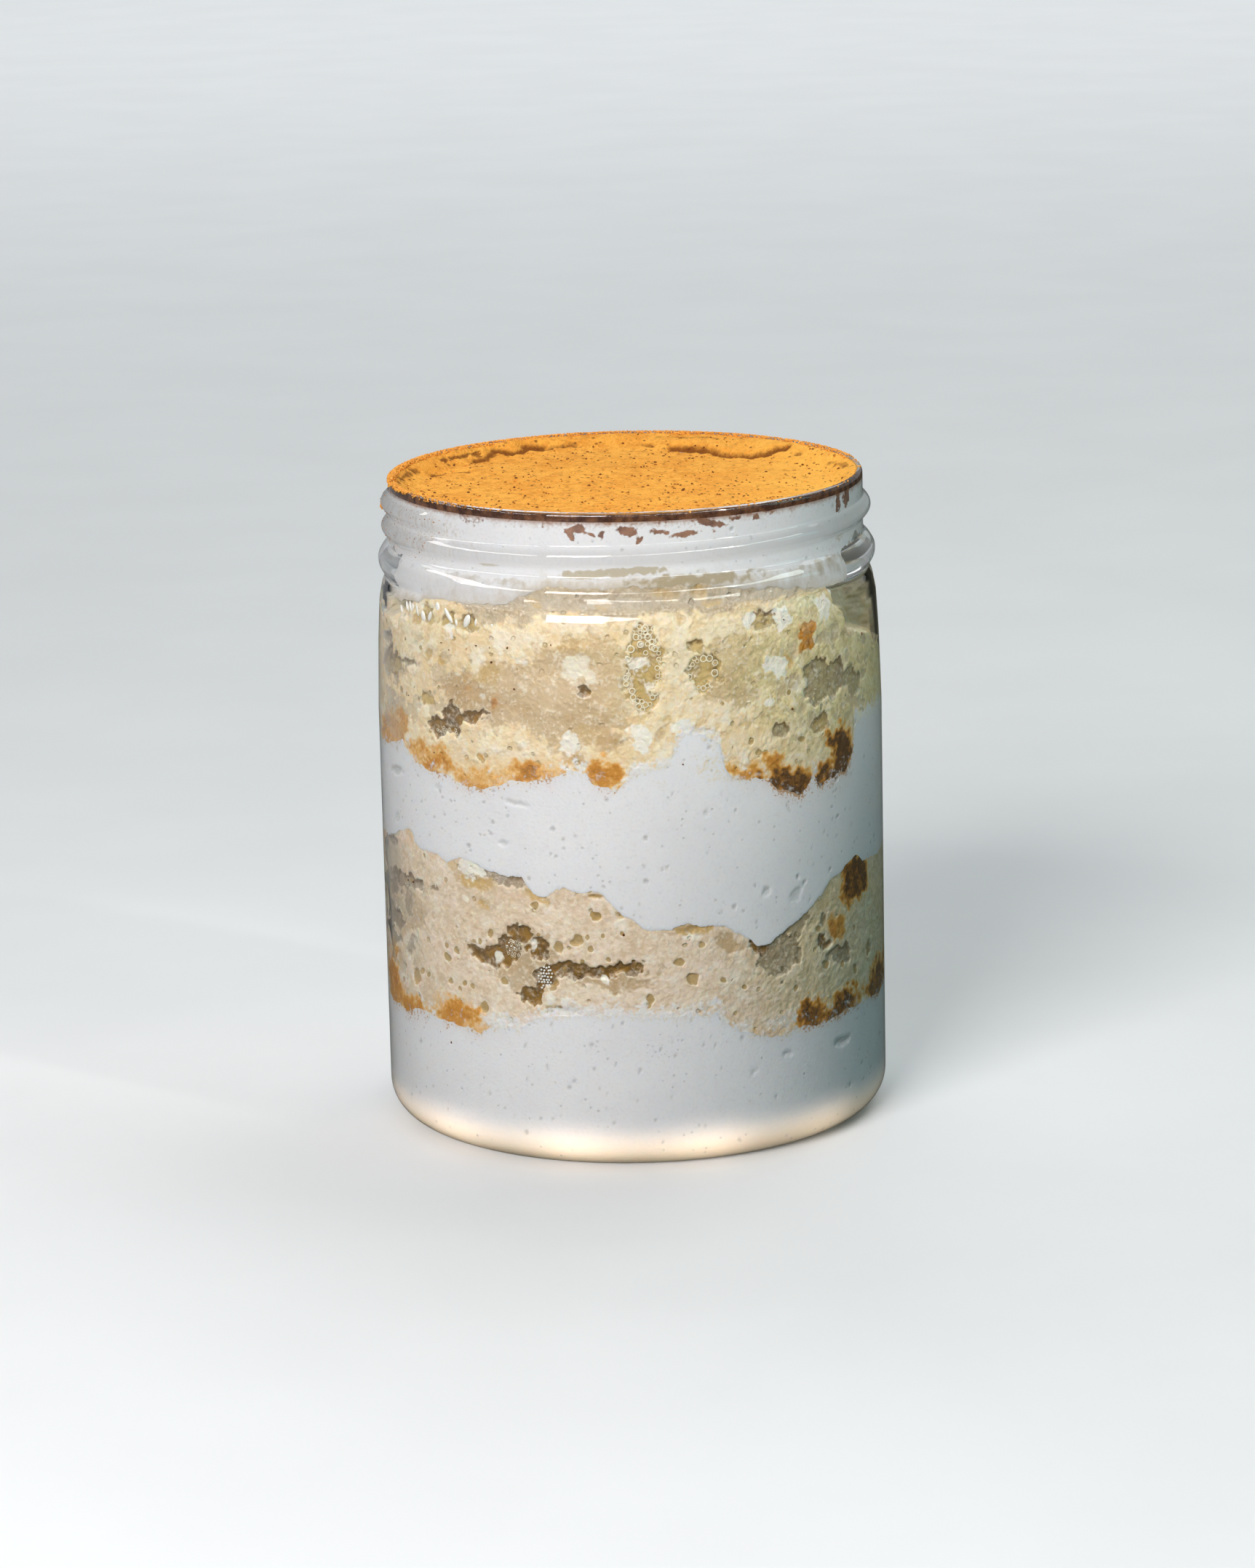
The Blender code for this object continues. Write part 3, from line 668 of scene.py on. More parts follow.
def withClusters(settings):
    # each kind's ovals, with those of the back drawn by seed added to the listed ones
    draw = random.Random(settings["seed"] + 9)
    spots = {kind: list(settings[kind]) for kind in cakeMarks}
    for kind, places in settings["clusters"].items():
        for place in places:
            spots[kind] += cluster(draw, *place)
    return spots


def scatteredHoles(settings, line, other):
    # small round holes spread over the whole side by a seeded draw
    draw = random.Random(settings["seed"])
    holes = []
    for _ in range(settings["holes"]):
        angle = draw.uniform(-180.0, 180.0)
        low, high = float(line.at(angle, 1.0)), float(other.at(angle, 1.0))
        holes.append((angle, draw.uniform(low + 2.0, high - 2.0), draw.uniform(0.45, 0.75)))
    return holes


def holeMarks(side, holes, jag, deep=0.8):
    depth, mark = np.zeros(len(side.angle)), np.zeros(len(side.angle))
    for angle, height, size in holes:
        pull = min(0.4 * size, 0.5)
        across = angleApart(side.angle, angle) * math.radians(1.0) * bodyBore + pull * side.pulled[0]
        up = side.height - height + pull * side.pulled[1]
        reach = smoothShare(0.5 + (size - np.hypot(across, up) + jag * side.ragged) / 0.4)
        mark = np.maximum(mark, reach)
        depth = np.maximum(depth, reach * size * deep)
    return depth, mark


def cakeShape(settings, low, high):
    def reshape(points):
        side = Side(points, lambda angle, share: low.at(angle, share, -layers["tuck"]),
                    lambda angle, share: high.at(angle, share, layers["tuck"]), settings["seed"])
        spots = withClusters(settings)
        marks = {kind: side.drawn(spots[kind], rule["soft"], rule["jag"])
                 for kind, rule in cakeMarks.items()}
        depth = gapDepth(side, settings["gaps"])
        marks["gap"] = smoothShare(depth / 3.0)
        marks["veil"] = ridgeShade(side.angle, side.height)
        overCream = side.height - side.bottom - layers["tuck"] + 3.0 * side.ragged
        crusty = smoothShare(marks["browned"] / 0.5)
        marks["creamy"] = smoothShare(1.0 - overCream / 4.5) * (1.0 - 0.6 * crusty)
        marks["brow"] = np.zeros(len(side.angle))
        for kind, share in brows.items():
            below = side.drawn(spots[kind], cakeMarks[kind]["soft"], cakeMarks[kind]["jag"], 0.75)
            marks["brow"] = np.maximum(marks["brow"], share * np.clip(marks[kind] - below, 0.0, 1.0))
        for kind, rule in cakeMarks.items():
            depth = np.maximum(depth, rule["depth"] * marks[kind])
        # bits that never touched the wall, and fine crumb where the wall isn't touched
        loose = layered(side.place, [(4.6, 1.0), (2.1, 0.8)], settings["seed"] + 5) + 0.6 * side.ragged
        loose = smoothShare((loose - 0.1) / 0.3) * (1.0 - marks["milky"])
        marks["torn"] = loose * side.drawn(settings["loose"], 6.0, 4.0)
        depth = np.maximum(depth, 0.15 * marks["torn"])
        holes = scatteredHoles(settings, low, high) + settings["namedHoles"]
        holeDepth, marks["holes"] = holeMarks(side, holes, 0.3, 0.3)
        depth = np.maximum(depth, holeDepth)
        crumb = layered(side.place, [(1.5, 1.0), (0.8, 0.6)], settings["seed"] + 7)
        depth = np.maximum(depth + 0.3 * crumb * smoothShare(depth / 0.8), 0.0)
        return side.formed(depth, layers["press"]), marks
    return reshape


def makeCakeFinish(name, settings):
    bench = Bench(name)
    wide, middling = bench.grain(6.0, 5.0), bench.grain(2.0, 5.0, 1.0)
    fine = bench.grain(0.6, 3.0, 2.0)
    crumb, pores, poreKind = bench.cells(1.3), bench.cells(2.3), bench.cells(2.3, out="Color")
    mottle = bench.grain(1.1, 3.0, 7.0)

    def edged(mark, low=0.36, high=0.64, stray=0.5):
        # a mark with its edge torn by the crumb
        torn = (fine - 0.5) * stray + (middling - 0.5) * stray * 0.9
        return (bench.mark(mark) + torn).between(low, high)

    def rimmed(mark, low, high, colour, share):
        # the pale lip round a hollow, partly pale crumb and partly painted highlight where its edge
        # catches the light
        lip = edged(mark, low - 0.12, low, 0.4) * edged(mark, high + 0.1, high, 0.4)
        return bench.mix(lip * share, colour, (0.95, 0.86, 0.70))

    colour = bench.mix(wide.between(0.36, 0.66) * 0.7, settings["base"], settings["deep"])
    colour = bench.mix(mottle.between(0.46, 0.64) * 0.5, colour, settings["mottle"])
    colour = bench.mix(mottle.between(0.44, 0.3) * 0.55, colour, (0.94, 0.87, 0.76))
    paler = bench.grain(3.2, 4.0, 5.0).between(0.52, 0.68)
    colour = bench.mix(paler * 0.65, colour, (0.93, 0.86, 0.74))
    # torn tongues of crumb: patches with a crisp, wavy edge and a thin shadow along it
    fold = bench.grain(4.2, 3.5, 12.0)
    folds = settings["folds"]
    colour = bench.mix(fold.between(0.49, 0.55) * 0.55 * folds, colour, settings["foldColour"])
    shadow = fold.between(0.48, 0.505) * fold.between(0.58, 0.51)
    colour = bench.mix(shadow * 0.22 * folds, colour, settings["foldShadow"])
    # open pores, brown inside: partly crumb colour, partly painted shade
    opened = (pores + (fine - 0.5) * 0.25).between(0.22, 0.15) * poreKind.between(0.62, 0.66)
    colour = bench.mix(opened * 0.8, colour, (0.52, 0.37, 0.17))
    colour = bench.mix(edged("film", 0.25, 0.95, 0.5) * 0.7, colour, (0.92, 0.81, 0.64))
    veiled = bench.grain(2.6, 4.0, 9.0).between(0.5, 0.75)
    colour = bench.mix(edged("soaked", 0.12, 0.75, 0.6) * (0.95 - veiled * 0.4), colour,
                       bench.mix(wide.between(0.4, 0.62), settings["wet"], settings["damp"]))
    colour = bench.mix(edged("disc", 0.15, 1.0, 0.3) * 0.8, colour, (0.95, 0.87, 0.72))
    colour = bench.mix(edged("shaded", 0.15, 0.9, 0.5) * 0.85, colour,
                       bench.mix(middling.between(0.35, 0.65), (0.64, 0.43, 0.23), (0.50, 0.32, 0.14)))
    colour = bench.mix(bench.mark("olive") * 0.75, colour,
                       bench.mix(mottle.between(0.4, 0.6), (0.84, 0.71, 0.37), (0.62, 0.51, 0.24)))
    colour = rimmed("torn", 0.14, 0.3, colour, 0.2)
    colour = bench.mix(edged("torn", 0.25, 0.6) * 0.6, colour, (0.66, 0.50, 0.31))
    colour = rimmed("recess", 0.16, 0.36, colour, 0.2)
    # painted shade: the crumb of a recess goes on in it, only darker, as if in shadow
    colour = bench.mix(edged("recess", 0.2, 0.65) * 0.95, colour,
                       bench.mix(middling.between(0.35, 0.65), (0.60, 0.57, 0.54), (0.38, 0.35, 0.29)),
                       "MULTIPLY")
    # a darker greyish-tan band along the top of the cake, behind the shoulder and bead: partly the
    # cake's own browner tone, partly painted shade
    colour = bench.mix(edged("haze", 0.2, 0.8) * 0.8, colour,
                       bench.mix(middling.between(0.35, 0.65), (0.58, 0.47, 0.33), (0.38, 0.27, 0.15)))
    # golden-brown crumb, partly its own browned colour and partly painted shadow under the edges of
    # pale tongues
    colour = bench.mix(edged("golden", 0.2, 0.75) * 0.85, colour, (0.66, 0.42, 0.14))
    # amber soaked crumb, partly its own colour and partly painted shadow round the cream runs on the
    # shoulder
    colour = bench.mix(edged("amber", 0.22, 0.62) * 0.85, colour,
                       bench.mix(middling.between(0.4, 0.6), (0.60, 0.42, 0.15), (0.36, 0.23, 0.06)))
    colour = rimmed("pocket", 0.14, 0.3, colour, 0.35)
    # the pockets' brown crumb, darkened nearly to black: partly wet crumb, partly painted shade
    hollow = bench.mix(middling.between(0.35, 0.65), (0.30, 0.15, 0.015), (0.11, 0.05, 0.004))
    colour = bench.mix(edged("pocket", 0.15, 0.7, 0.6) * 0.97, colour, hollow)
    colour = rimmed("holes", 0.1, 0.3, colour, 0.35)
    # the holes filled with olive brown: partly wet crumb, partly painted shade in place of their depth
    colour = bench.mix(edged("holes", 0.25, 0.7, 0.5) * 0.85, colour, (0.46, 0.30, 0.10))
    colour = bench.mix(edged("brow", 0.12, 0.5, 0.4) * 0.75, colour, (0.17, 0.09, 0.02))
    colour = bench.mix(edged("milky", 0.25, 0.75, 0.6) * 0.9, colour, (0.95, 0.89, 0.78))
    colour = bench.mix(edged("toast", 0.2, 0.8, 0.4), colour,
                       bench.mix(middling.between(0.4, 0.6), (0.62, 0.24, 0.004), (0.38, 0.13, 0.003)))
    crust = bench.ramp(bench.mark("browned") + (middling - 0.5) * 0.5 + (fine - 0.5) * 0.35,
                       [(0.15, (0.86, 0.63, 0.36)), (0.45, (0.82, 0.44, 0.10)),
                        (0.7, (0.60, 0.25, 0.03)), (0.95, (0.11, 0.045, 0.006))])
    colour = bench.mix(edged("browned", 0.02, 0.65, 0.75), colour, crust)
    melted = bench.mark("creamy") * 0.75 + (fine - 0.5) * 1.3 + (middling - 0.5) * 1.1
    colour = bench.mix(melted.between(0.25, 0.8) * 0.9, colour, (0.86, 0.84, 0.82))
    # painted shade where the cake stands back from the wall
    colour = bench.mix(bench.mark("gap") * 0.7, colour, (0.50, 0.44, 0.29))
    # painted shade under the thread and the bead
    colour = bench.mix(bench.mark("veil") * 0.4, colour, (0.40, 0.36, 0.31))
    wet = (bench.mark("soaked") * 0.7).larger(bench.mark("pocket") * 0.4)
    height = fine * 0.5 + middling * 0.6 + mottle * 0.4 - crumb.between(0.1, 0.6) * 0.2 - opened * 0.9
    height = height - fold.between(0.48, 0.56) * 0.25 * folds
    return bench.finish(bench.principled({
        "Base Color": colour, "Roughness": 0.55 - wet * 0.3, "Specular IOR Level": 0.3,
        "Subsurface Weight": 0.4, "Subsurface Radius": (1.0, 0.6, 0.3),
        "Subsurface Scale": 0.6 * millimetre, "Normal": bench.bump(height, 0.3, 0.9)}))


def makeCake(name, settings, low, high, node):
    levels = np.linspace(0.0, 1.0, settings["rows"])
    bm = drum(levels, layers["lapRings"], layers["lapRings"], layers["sides"])
    return madePiece(bm, name, makeCakeFinish(name + "Crumb", settings), [node],
                     cakeShape(settings, low, high))


cakeLower = makeCake("cakeLower", lowerCake, lowerFloor, lowerTop, "cake_lower")
cakeUpper = makeCake("cakeUpper", upperCake, upperFloor, upperTop, "cake_upper")

# the cinnamon's surface
powder = {
    "thickness": 1.2, "plateau": 115.8, "swell": 0.25, "edge": 117.8, "backLift": 0.35,
    "frontSlope": 3.5, "backSlope": 5.0, "wideSlope": 9.0, "wideAngle": 150.0, "wideSpread": 32.0,
    "rings": 140, "sides": 480, "seed": 60, "deepest": 0.95,
    # cracks and streaks as (angle, radius) routes, each with its width and depth, the step up
    # on its far side and how dark it is
    "cracks": [
        {"route": [(-156.5, 39.5), (-152.5, 40.0), (-149.5, 38.8), (-146, 39.4), (-143, 40.5),
                   (-139, 39.2), (-133.5, 38.8)],
         "width": 2.4, "depth": 0.95, "step": 0.1, "dark": 1.0},
        {"route": [(-138, 40.6), (-133, 40.3), (-128, 40.3), (-123, 40.4)],
         "width": 1.5, "depth": 0.5, "step": 0.0, "dark": 0.9},
        {"route": [(131, 39.8), (133, 38.6), (134.5, 37.1), (137.5, 35.6), (142.5, 34.8), (147, 33.7),
                   (151, 34.8), (156, 35.8), (161, 36.3), (165.5, 36.0)],
         "width": 2.3, "depth": 0.9, "step": 0.3, "dark": 1.0},
        {"route": [(155, 40.6), (160, 40.2), (165.5, 40.3), (171, 40.1)],
         "width": 2.2, "depth": 0.2, "step": 0.0, "dark": 0.55},
        {"route": [(95, 41.0), (101, 40.5), (108.5, 39.8)],
         "width": 2.3, "depth": 0.3, "step": 0.0, "dark": 0.7},
        {"route": [(-109, 40.4), (-103, 40.3), (-96, 40.8), (-87, 41.1)],
         "width": 2.3, "depth": 0.4, "step": 0.0, "dark": 0.8},
        {"route": [(-120.5, 33.7), (-119, 35.2), (-117.5, 37.3), (-112, 38.2)],
         "width": 2.2, "depth": 0.4, "step": 0.0, "dark": 0.85},
    ],
    # dents as (angle, radius, half width, half length, depth)
    "dents": [(-159, 39.0, 0.7, 1.3, 0.5), (-162.5, 38.9, 0.6, 0.9, 0.4), (-165.5, 39.2, 0.8, 1.2, 0.4),
              (113, 32.4, 0.6, 1.3, 0.4), (106.5, 32.2, 0.6, 1.0, 0.4), (101, 33.4, 0.5, 1.2, 0.3),
              (124.5, 39.1, 0.7, 1.3, 0.4), (173, 37.5, 0.6, 1.2, 0.4), (-150, 35.0, 0.6, 0.8, 0.35),
              (96, 30, 0.5, 0.8, 0.3)],
}


def powderHeight(angle, share):
    radius = share * (neckBore - 0.3)
    away = np.abs(angleApart(angle, powder["wideAngle"]))
    wide = np.exp(-((away / powder["wideSpread"]) ** 2))
    plain = powder["frontSlope"] + (powder["backSlope"] - powder["frontSlope"]) * (
        1.0 - np.cos(np.radians(angle))) / 2.0
    width = plain + (powder["wideSlope"] - plain) * wide
    climb = smoothShare((radius - (neckBore - 0.3) + width) / width)
    swell = powder["swell"] * np.sin(np.radians(2.0 * angle + 40.0)) * share
    edge = powder["edge"] + powder["backLift"] * (1.0 - np.cos(np.radians(angle))) / 2.0
    return powder["plateau"] + swell * (1.0 - climb) + (edge - powder["plateau"]) * climb


def distanceToRoute(flat, route):
    # distance in plan from each point to a route of (angle, radius) stations
    stations = [aroundJar(np.array(angle), radius, 0.0)[:2] for angle, radius in route]
    nearest = np.full(len(flat), 99.0)
    for start, end in zip(stations, stations[1:]):
        run = end - start
        share = np.clip((flat - start) @ run / (run @ run), 0.0, 1.0)
        nearest = np.minimum(nearest, np.hypot(*(flat - start - share[:, None] * run).T))
    return nearest


def powderShape(points):
    share = np.hypot(points[:, 0], points[:, 1])
    angle = np.degrees(np.arctan2(points[:, 0], -points[:, 1]))
    surface = powderHeight(angle, share)
    height = surface - powder["thickness"] * (1.0 - points[:, 2])
    radius = share * (boreRadius(height) + layers["press"])
    places = aroundJar(angle, radius, height)
    onTop = points[:, 2] > 0.999
    seed = powder["seed"]
    rough = ripple(places, 1.1, seed)
    relief = 0.24 * ripple(places, 6.0, seed + 1) + 0.12 * ripple(places, 2.4, seed + 2) + 0.07 * rough
    shade = np.zeros(len(angle))
    stray = 0.6 * rough + 0.45 * ripple(places, 2.2, seed + 3)
    broken = 0.55 + 0.9 * ripple(places, 1.7, seed + 4)
    for crack in powder["cracks"]:
        away = distanceToRoute(places[:, :2], crack["route"]) + stray
        beyond = smoothShare(0.5 + radius - np.interp(angle, *zip(*crack["route"])))
        relief -= crack["depth"] * smoothShare(1.0 - away / crack["width"])
        lip = broken * smoothShare(1.0 - np.abs(away - 1.6) / 1.2)
        relief += (0.3 * crack["depth"] + crack["step"] * beyond) * lip
        reach = (0.36 + 1.5 * crack["step"] * beyond) * crack["width"]
        shade = np.maximum(shade, crack["dark"] * smoothShare(1.3 * (1.0 - away / reach)))
    for turn, reach, wide, long, depth in powder["dents"]:
        centre = aroundJar(np.array(turn), reach, 0.0)[:2]
        outwards = centre / np.hypot(*centre)
        offset = places[:, :2] - centre
        sideways = np.array([-outwards[1], outwards[0]])
        inner = np.hypot(offset @ outwards / wide, offset @ sideways / long)
        cut = smoothShare(1.6 - inner + 0.6 * rough)
        relief -= depth * cut
        shade = np.maximum(shade, 0.7 * cut)
    edge = smoothShare((1.0 - share) / 0.02)
    places[:, 2] += np.where(onTop, np.maximum(relief, -powder["deepest"]) * edge, 0.0)
    # the sides of the layer are dark brown, and so is the top's outermost ring, less so round the back
    behind = 0.75 * smoothShare((np.abs(angle) - 75.0) / 25.0)
    lit = np.maximum(smoothShare((1.0 - share) / 0.006), behind)
    return places, {"shade": shade * onTop, "side": 1.0 - onTop * lit}


def makeCinnamonFinish():
    bench = Bench("groundCinnamon")
    wide, middling = bench.grain(8.0, 3.0), bench.grain(1.5, 4.0, 1.0)
    fine = bench.grain(0.42, 2.0, 2.0)
    colour = bench.mix(wide.between(0.35, 0.68), (0.94, 0.44, 0.07), (0.86, 0.36, 0.05))
    colour = bench.mix(middling.between(0.42, 0.66) * 0.55, colour, (0.66, 0.24, 0.03))
    colour = bench.mix(fine.between(0.52, 0.72) * 0.5, colour, (0.97, 0.52, 0.12))
    colour = bench.mix(fine.between(0.46, 0.3) * 0.5, colour, (0.50, 0.17, 0.02))
    # painted light: the powder lighter towards the right, where the lamp on the right falls on it
    litFromRight = bench.add("SeparateXYZ", None, {0: bench.place}, out="X").between(0.01, 0.04)
    colour = bench.mix(litFromRight * 0.5, colour, (1.0, 0.55, 0.10))
    speck = bench.cells(1.3, out="Color")
    dark = bench.cells(1.3).between(0.32, 0.14) * speck.between(0.56, 0.66)
    colour = bench.mix(dark * 0.8, colour, (0.20, 0.065, 0.015))
    cracked = (bench.mark("shade") + (fine - 0.5) * 0.8 + (middling - 0.5) * 0.5).between(0.15, 1.0)
    colour = bench.mix(cracked * 0.9, colour, (0.17, 0.045, 0.008))
    # the sides of the powder against the wall, dark brown: partly damp packed powder, partly painted
    # shade
    packedAndShaded = bench.mix(middling.between(0.35, 0.65), (0.20, 0.085, 0.04), (0.06, 0.025, 0.015))
    colour = bench.mix(bench.mark("side"), colour, packedAndShaded)
    return bench.finish(bench.principled({
        "Base Color": colour, "Roughness": 0.95, "Specular IOR Level": 0.08,
        "Normal": bench.bump(fine * 0.7 + middling * 0.8, 0.5, 1.0)}))


def makeCinnamon():
    highRings = [ring / powder["rings"] for ring in range(powder["rings"])]
    bm = drum(np.linspace(0.0, 1.0, 5), layers["lapRings"], highRings, powder["sides"])
    return madePiece(bm, "cinnamonLayer", makeCinnamonFinish(), ["cinnamon"], powderShape)


cinnamonLayer = makeCinnamon()

# the whipped cream
cream = {
    "pitJag": 0.12,
    # thin creases and dips: the ovals of the cake's marks, with a depth in place of the strength
    "creases": [(-29.5, -24.5, 66.2, 67.1, -6, 0.5), (-71, -64, 67, 68.2, 8, 0.7),
                (-31.5, -29, 58.7, 59.8, 0, 0.5), (34.5, 37.5, 18.2, 18.9, -12, 0.6),
                (51.5, 57, 17, 18.2, 0, 0.7), (30, 31.8, 48.2, 49.8, 0, 0.4),
                (15.8, 17, 64.2, 65.4, 0, 0.4), (-62, -60, 56, 57.6, 0, 0.5),
                (26, 28, 16, 16.6, 20, 0.4), (-50.5, -47.5, 66.9, 67.9, 0, 0.3),
                (-70, -67, 58, 60, 0, 0.4), (37, 41, 46.4, 48, 30, 0.3)],
    "smudges": [(-14, -9.6, 114.6, 116.2, 0), (-13.9, -12.4, 113.6, 115.4, 30),
                (-10, -6.6, 114.2, 114.9, -16), (-7.2, -4.4, 113.8, 115.1, 30),
                (-2.6, 2.6, 114.2, 115.9, -14), (2.2, 4.2, 112.9, 113.9, 30),
                (5.4, 9.4, 114.3, 115.3, -8), (11, 17.8, 113.7, 114.6, 8),
                (15.8, 23.6, 115.2, 116.6, -12), (20.5, 21.4, 113.8, 114.5, 0),
                (25.6, 28, 115.8, 116.8, 0), (30.6, 33.6, 114.8, 116.4, 0),
                (35, 37, 116.9, 117.7, 0), (-45, -35, 114.9, 117.2, 0, 0.45),
                (60.6, 63, 113.6, 117.6, 12), (65, 69, 113.6, 118, -14),
                (-33, -27, 115.6, 116.4, 0, 0.3), (-20.4, -19.6, 115.2, 116.4, 0, 0.5),
                (-26, 50, 116.3, 118.6, 0, 0.5), (-60, -26, 116.8, 118.4, 0, 0.4)],
    "stains": [(-14.5, -3, 106.6, 108.2, 3), (-6, 9, 107.1, 108.9, 2),
               (-38, -31, 108.2, 109.2, 0, 0.5), (4.5, 16.4, 105.0, 106.0, 2, 0.9),
               (23.4, 26, 106.4, 107.4, 0, 0.4), (60, 66, 108, 110, 0, 0.4)],
    "bubbly": [(1, 11, 19.5, 27.5)],
    "strewn": [(13, 25, 69.5, 79, 0, 0.9), (2, 10, 70, 74, 0, 0.6), (30, 48, 63, 66.5, 0, 0.5)],
    "dust": [(-100, -46, 107, 117), (-40, 45, 115.6, 118.6, 0, 0.7), (58, 84, 106, 112, 0, 0.4)],
    "gaps": [(74, 103.5, 13, 5, 2.6), (-78, 102, 10, 5, 0.8)],
    "browner": [(1, 31, 104.4, 106.9, 0, 0.8), (-58, -20, 104.2, 105.8, 0, 0.4),
                (40, 66, 103.6, 106.0, 0, 0.5)],
}

# crust is the browned edge of the cake above, which stains the cream under it
bottomCream = {"rows": 56, "crowd": 1.35, "seed": 70, "pits": 160, "rounded": 0.0, "neck": False,
               "crust": lowerCake["browned"]}
middleCream = {"rows": 74, "crowd": 1.0, "seed": 80, "pits": 250, "rounded": 0.05, "neck": False,
               "crust": upperCake["browned"]}
topCream = {"rows": 54, "crowd": 1.0, "seed": 90, "pits": 30, "rounded": 0.05, "neck": True,
            "crust": []}


def scatteredPits(seed, count, low, high):
    draw = random.Random(seed)
    pits = []
    for _ in range(count):
        angle = draw.uniform(-180.0, 180.0)
        pits.append((angle, draw.uniform(low(angle) + 0.8, high(angle) - 0.8),
                     draw.choice((0.16, 0.2, 0.24, 0.3, 0.42))))
    return pits


def creamShape(settings, low, high):
    def reshape(points):
        side = Side(points, low, high, settings["seed"])
        depth = gapDepth(side, cream["gaps"] if settings["neck"] else [])
        creases = side.drawn(cream["creases"], 0.7, 0.5)
        pits = scatteredPits(settings["seed"], settings["pits"], lambda angle: float(low(angle, 1.0)),
                             lambda angle: float(high(angle, 1.0)))
        pitDepth, pitMark = holeMarks(side, pits, cream["pitJag"])
        depth = np.maximum(depth, np.maximum(0.4 * creases, 0.3 * pitDepth))
        toTop, toBottom = side.top - side.height, side.height - side.bottom
        toEdge = np.minimum(toBottom, toTop)
        edge = settings["rounded"] * np.clip(1.0 - toEdge / 0.7, 0.0, 1.0) ** 2
        underCake = 0.0 if settings["neck"] else 1.0
        marks = {
            "pits": np.maximum(pitMark, creases),
            "veil": ridgeShade(side.angle, side.height),
            "bubbly": side.drawn(cream["bubbly"], 3.0, 3.0),
            "smudge": side.drawn(cream["smudges"], 0.8, 1.0),
            "stain": side.drawn(cream["stains"], 1.0, 0.7),
            "dust": side.drawn(cream["dust"], 4.0, 3.0),
            "browner": side.drawn(cream["browner"], 1.6, 1.5),
            "blush": side.drawn(settings["crust"], 5.0, 2.0) * np.exp(-toTop / 2.4),
            "crumbs": np.maximum(underCake * smoothShare(1.0 - (toTop + 0.9 * side.ragged) / 2.2),
                                 side.drawn(cream["strewn"], 3.0, 2.0)),
            "brownHaze": (1.0 - underCake) * np.exp(-toTop / 0.9),
            "lowHaze": (1.0 - underCake) * np.exp(-(toBottom + 1.2 * side.ragged) / 2.0),
        }
        depth = depth + edge * (0.5 + side.ragged)
        return side.formed(depth, layers["press"] + layers["creamOver"]), marks
    return reshape


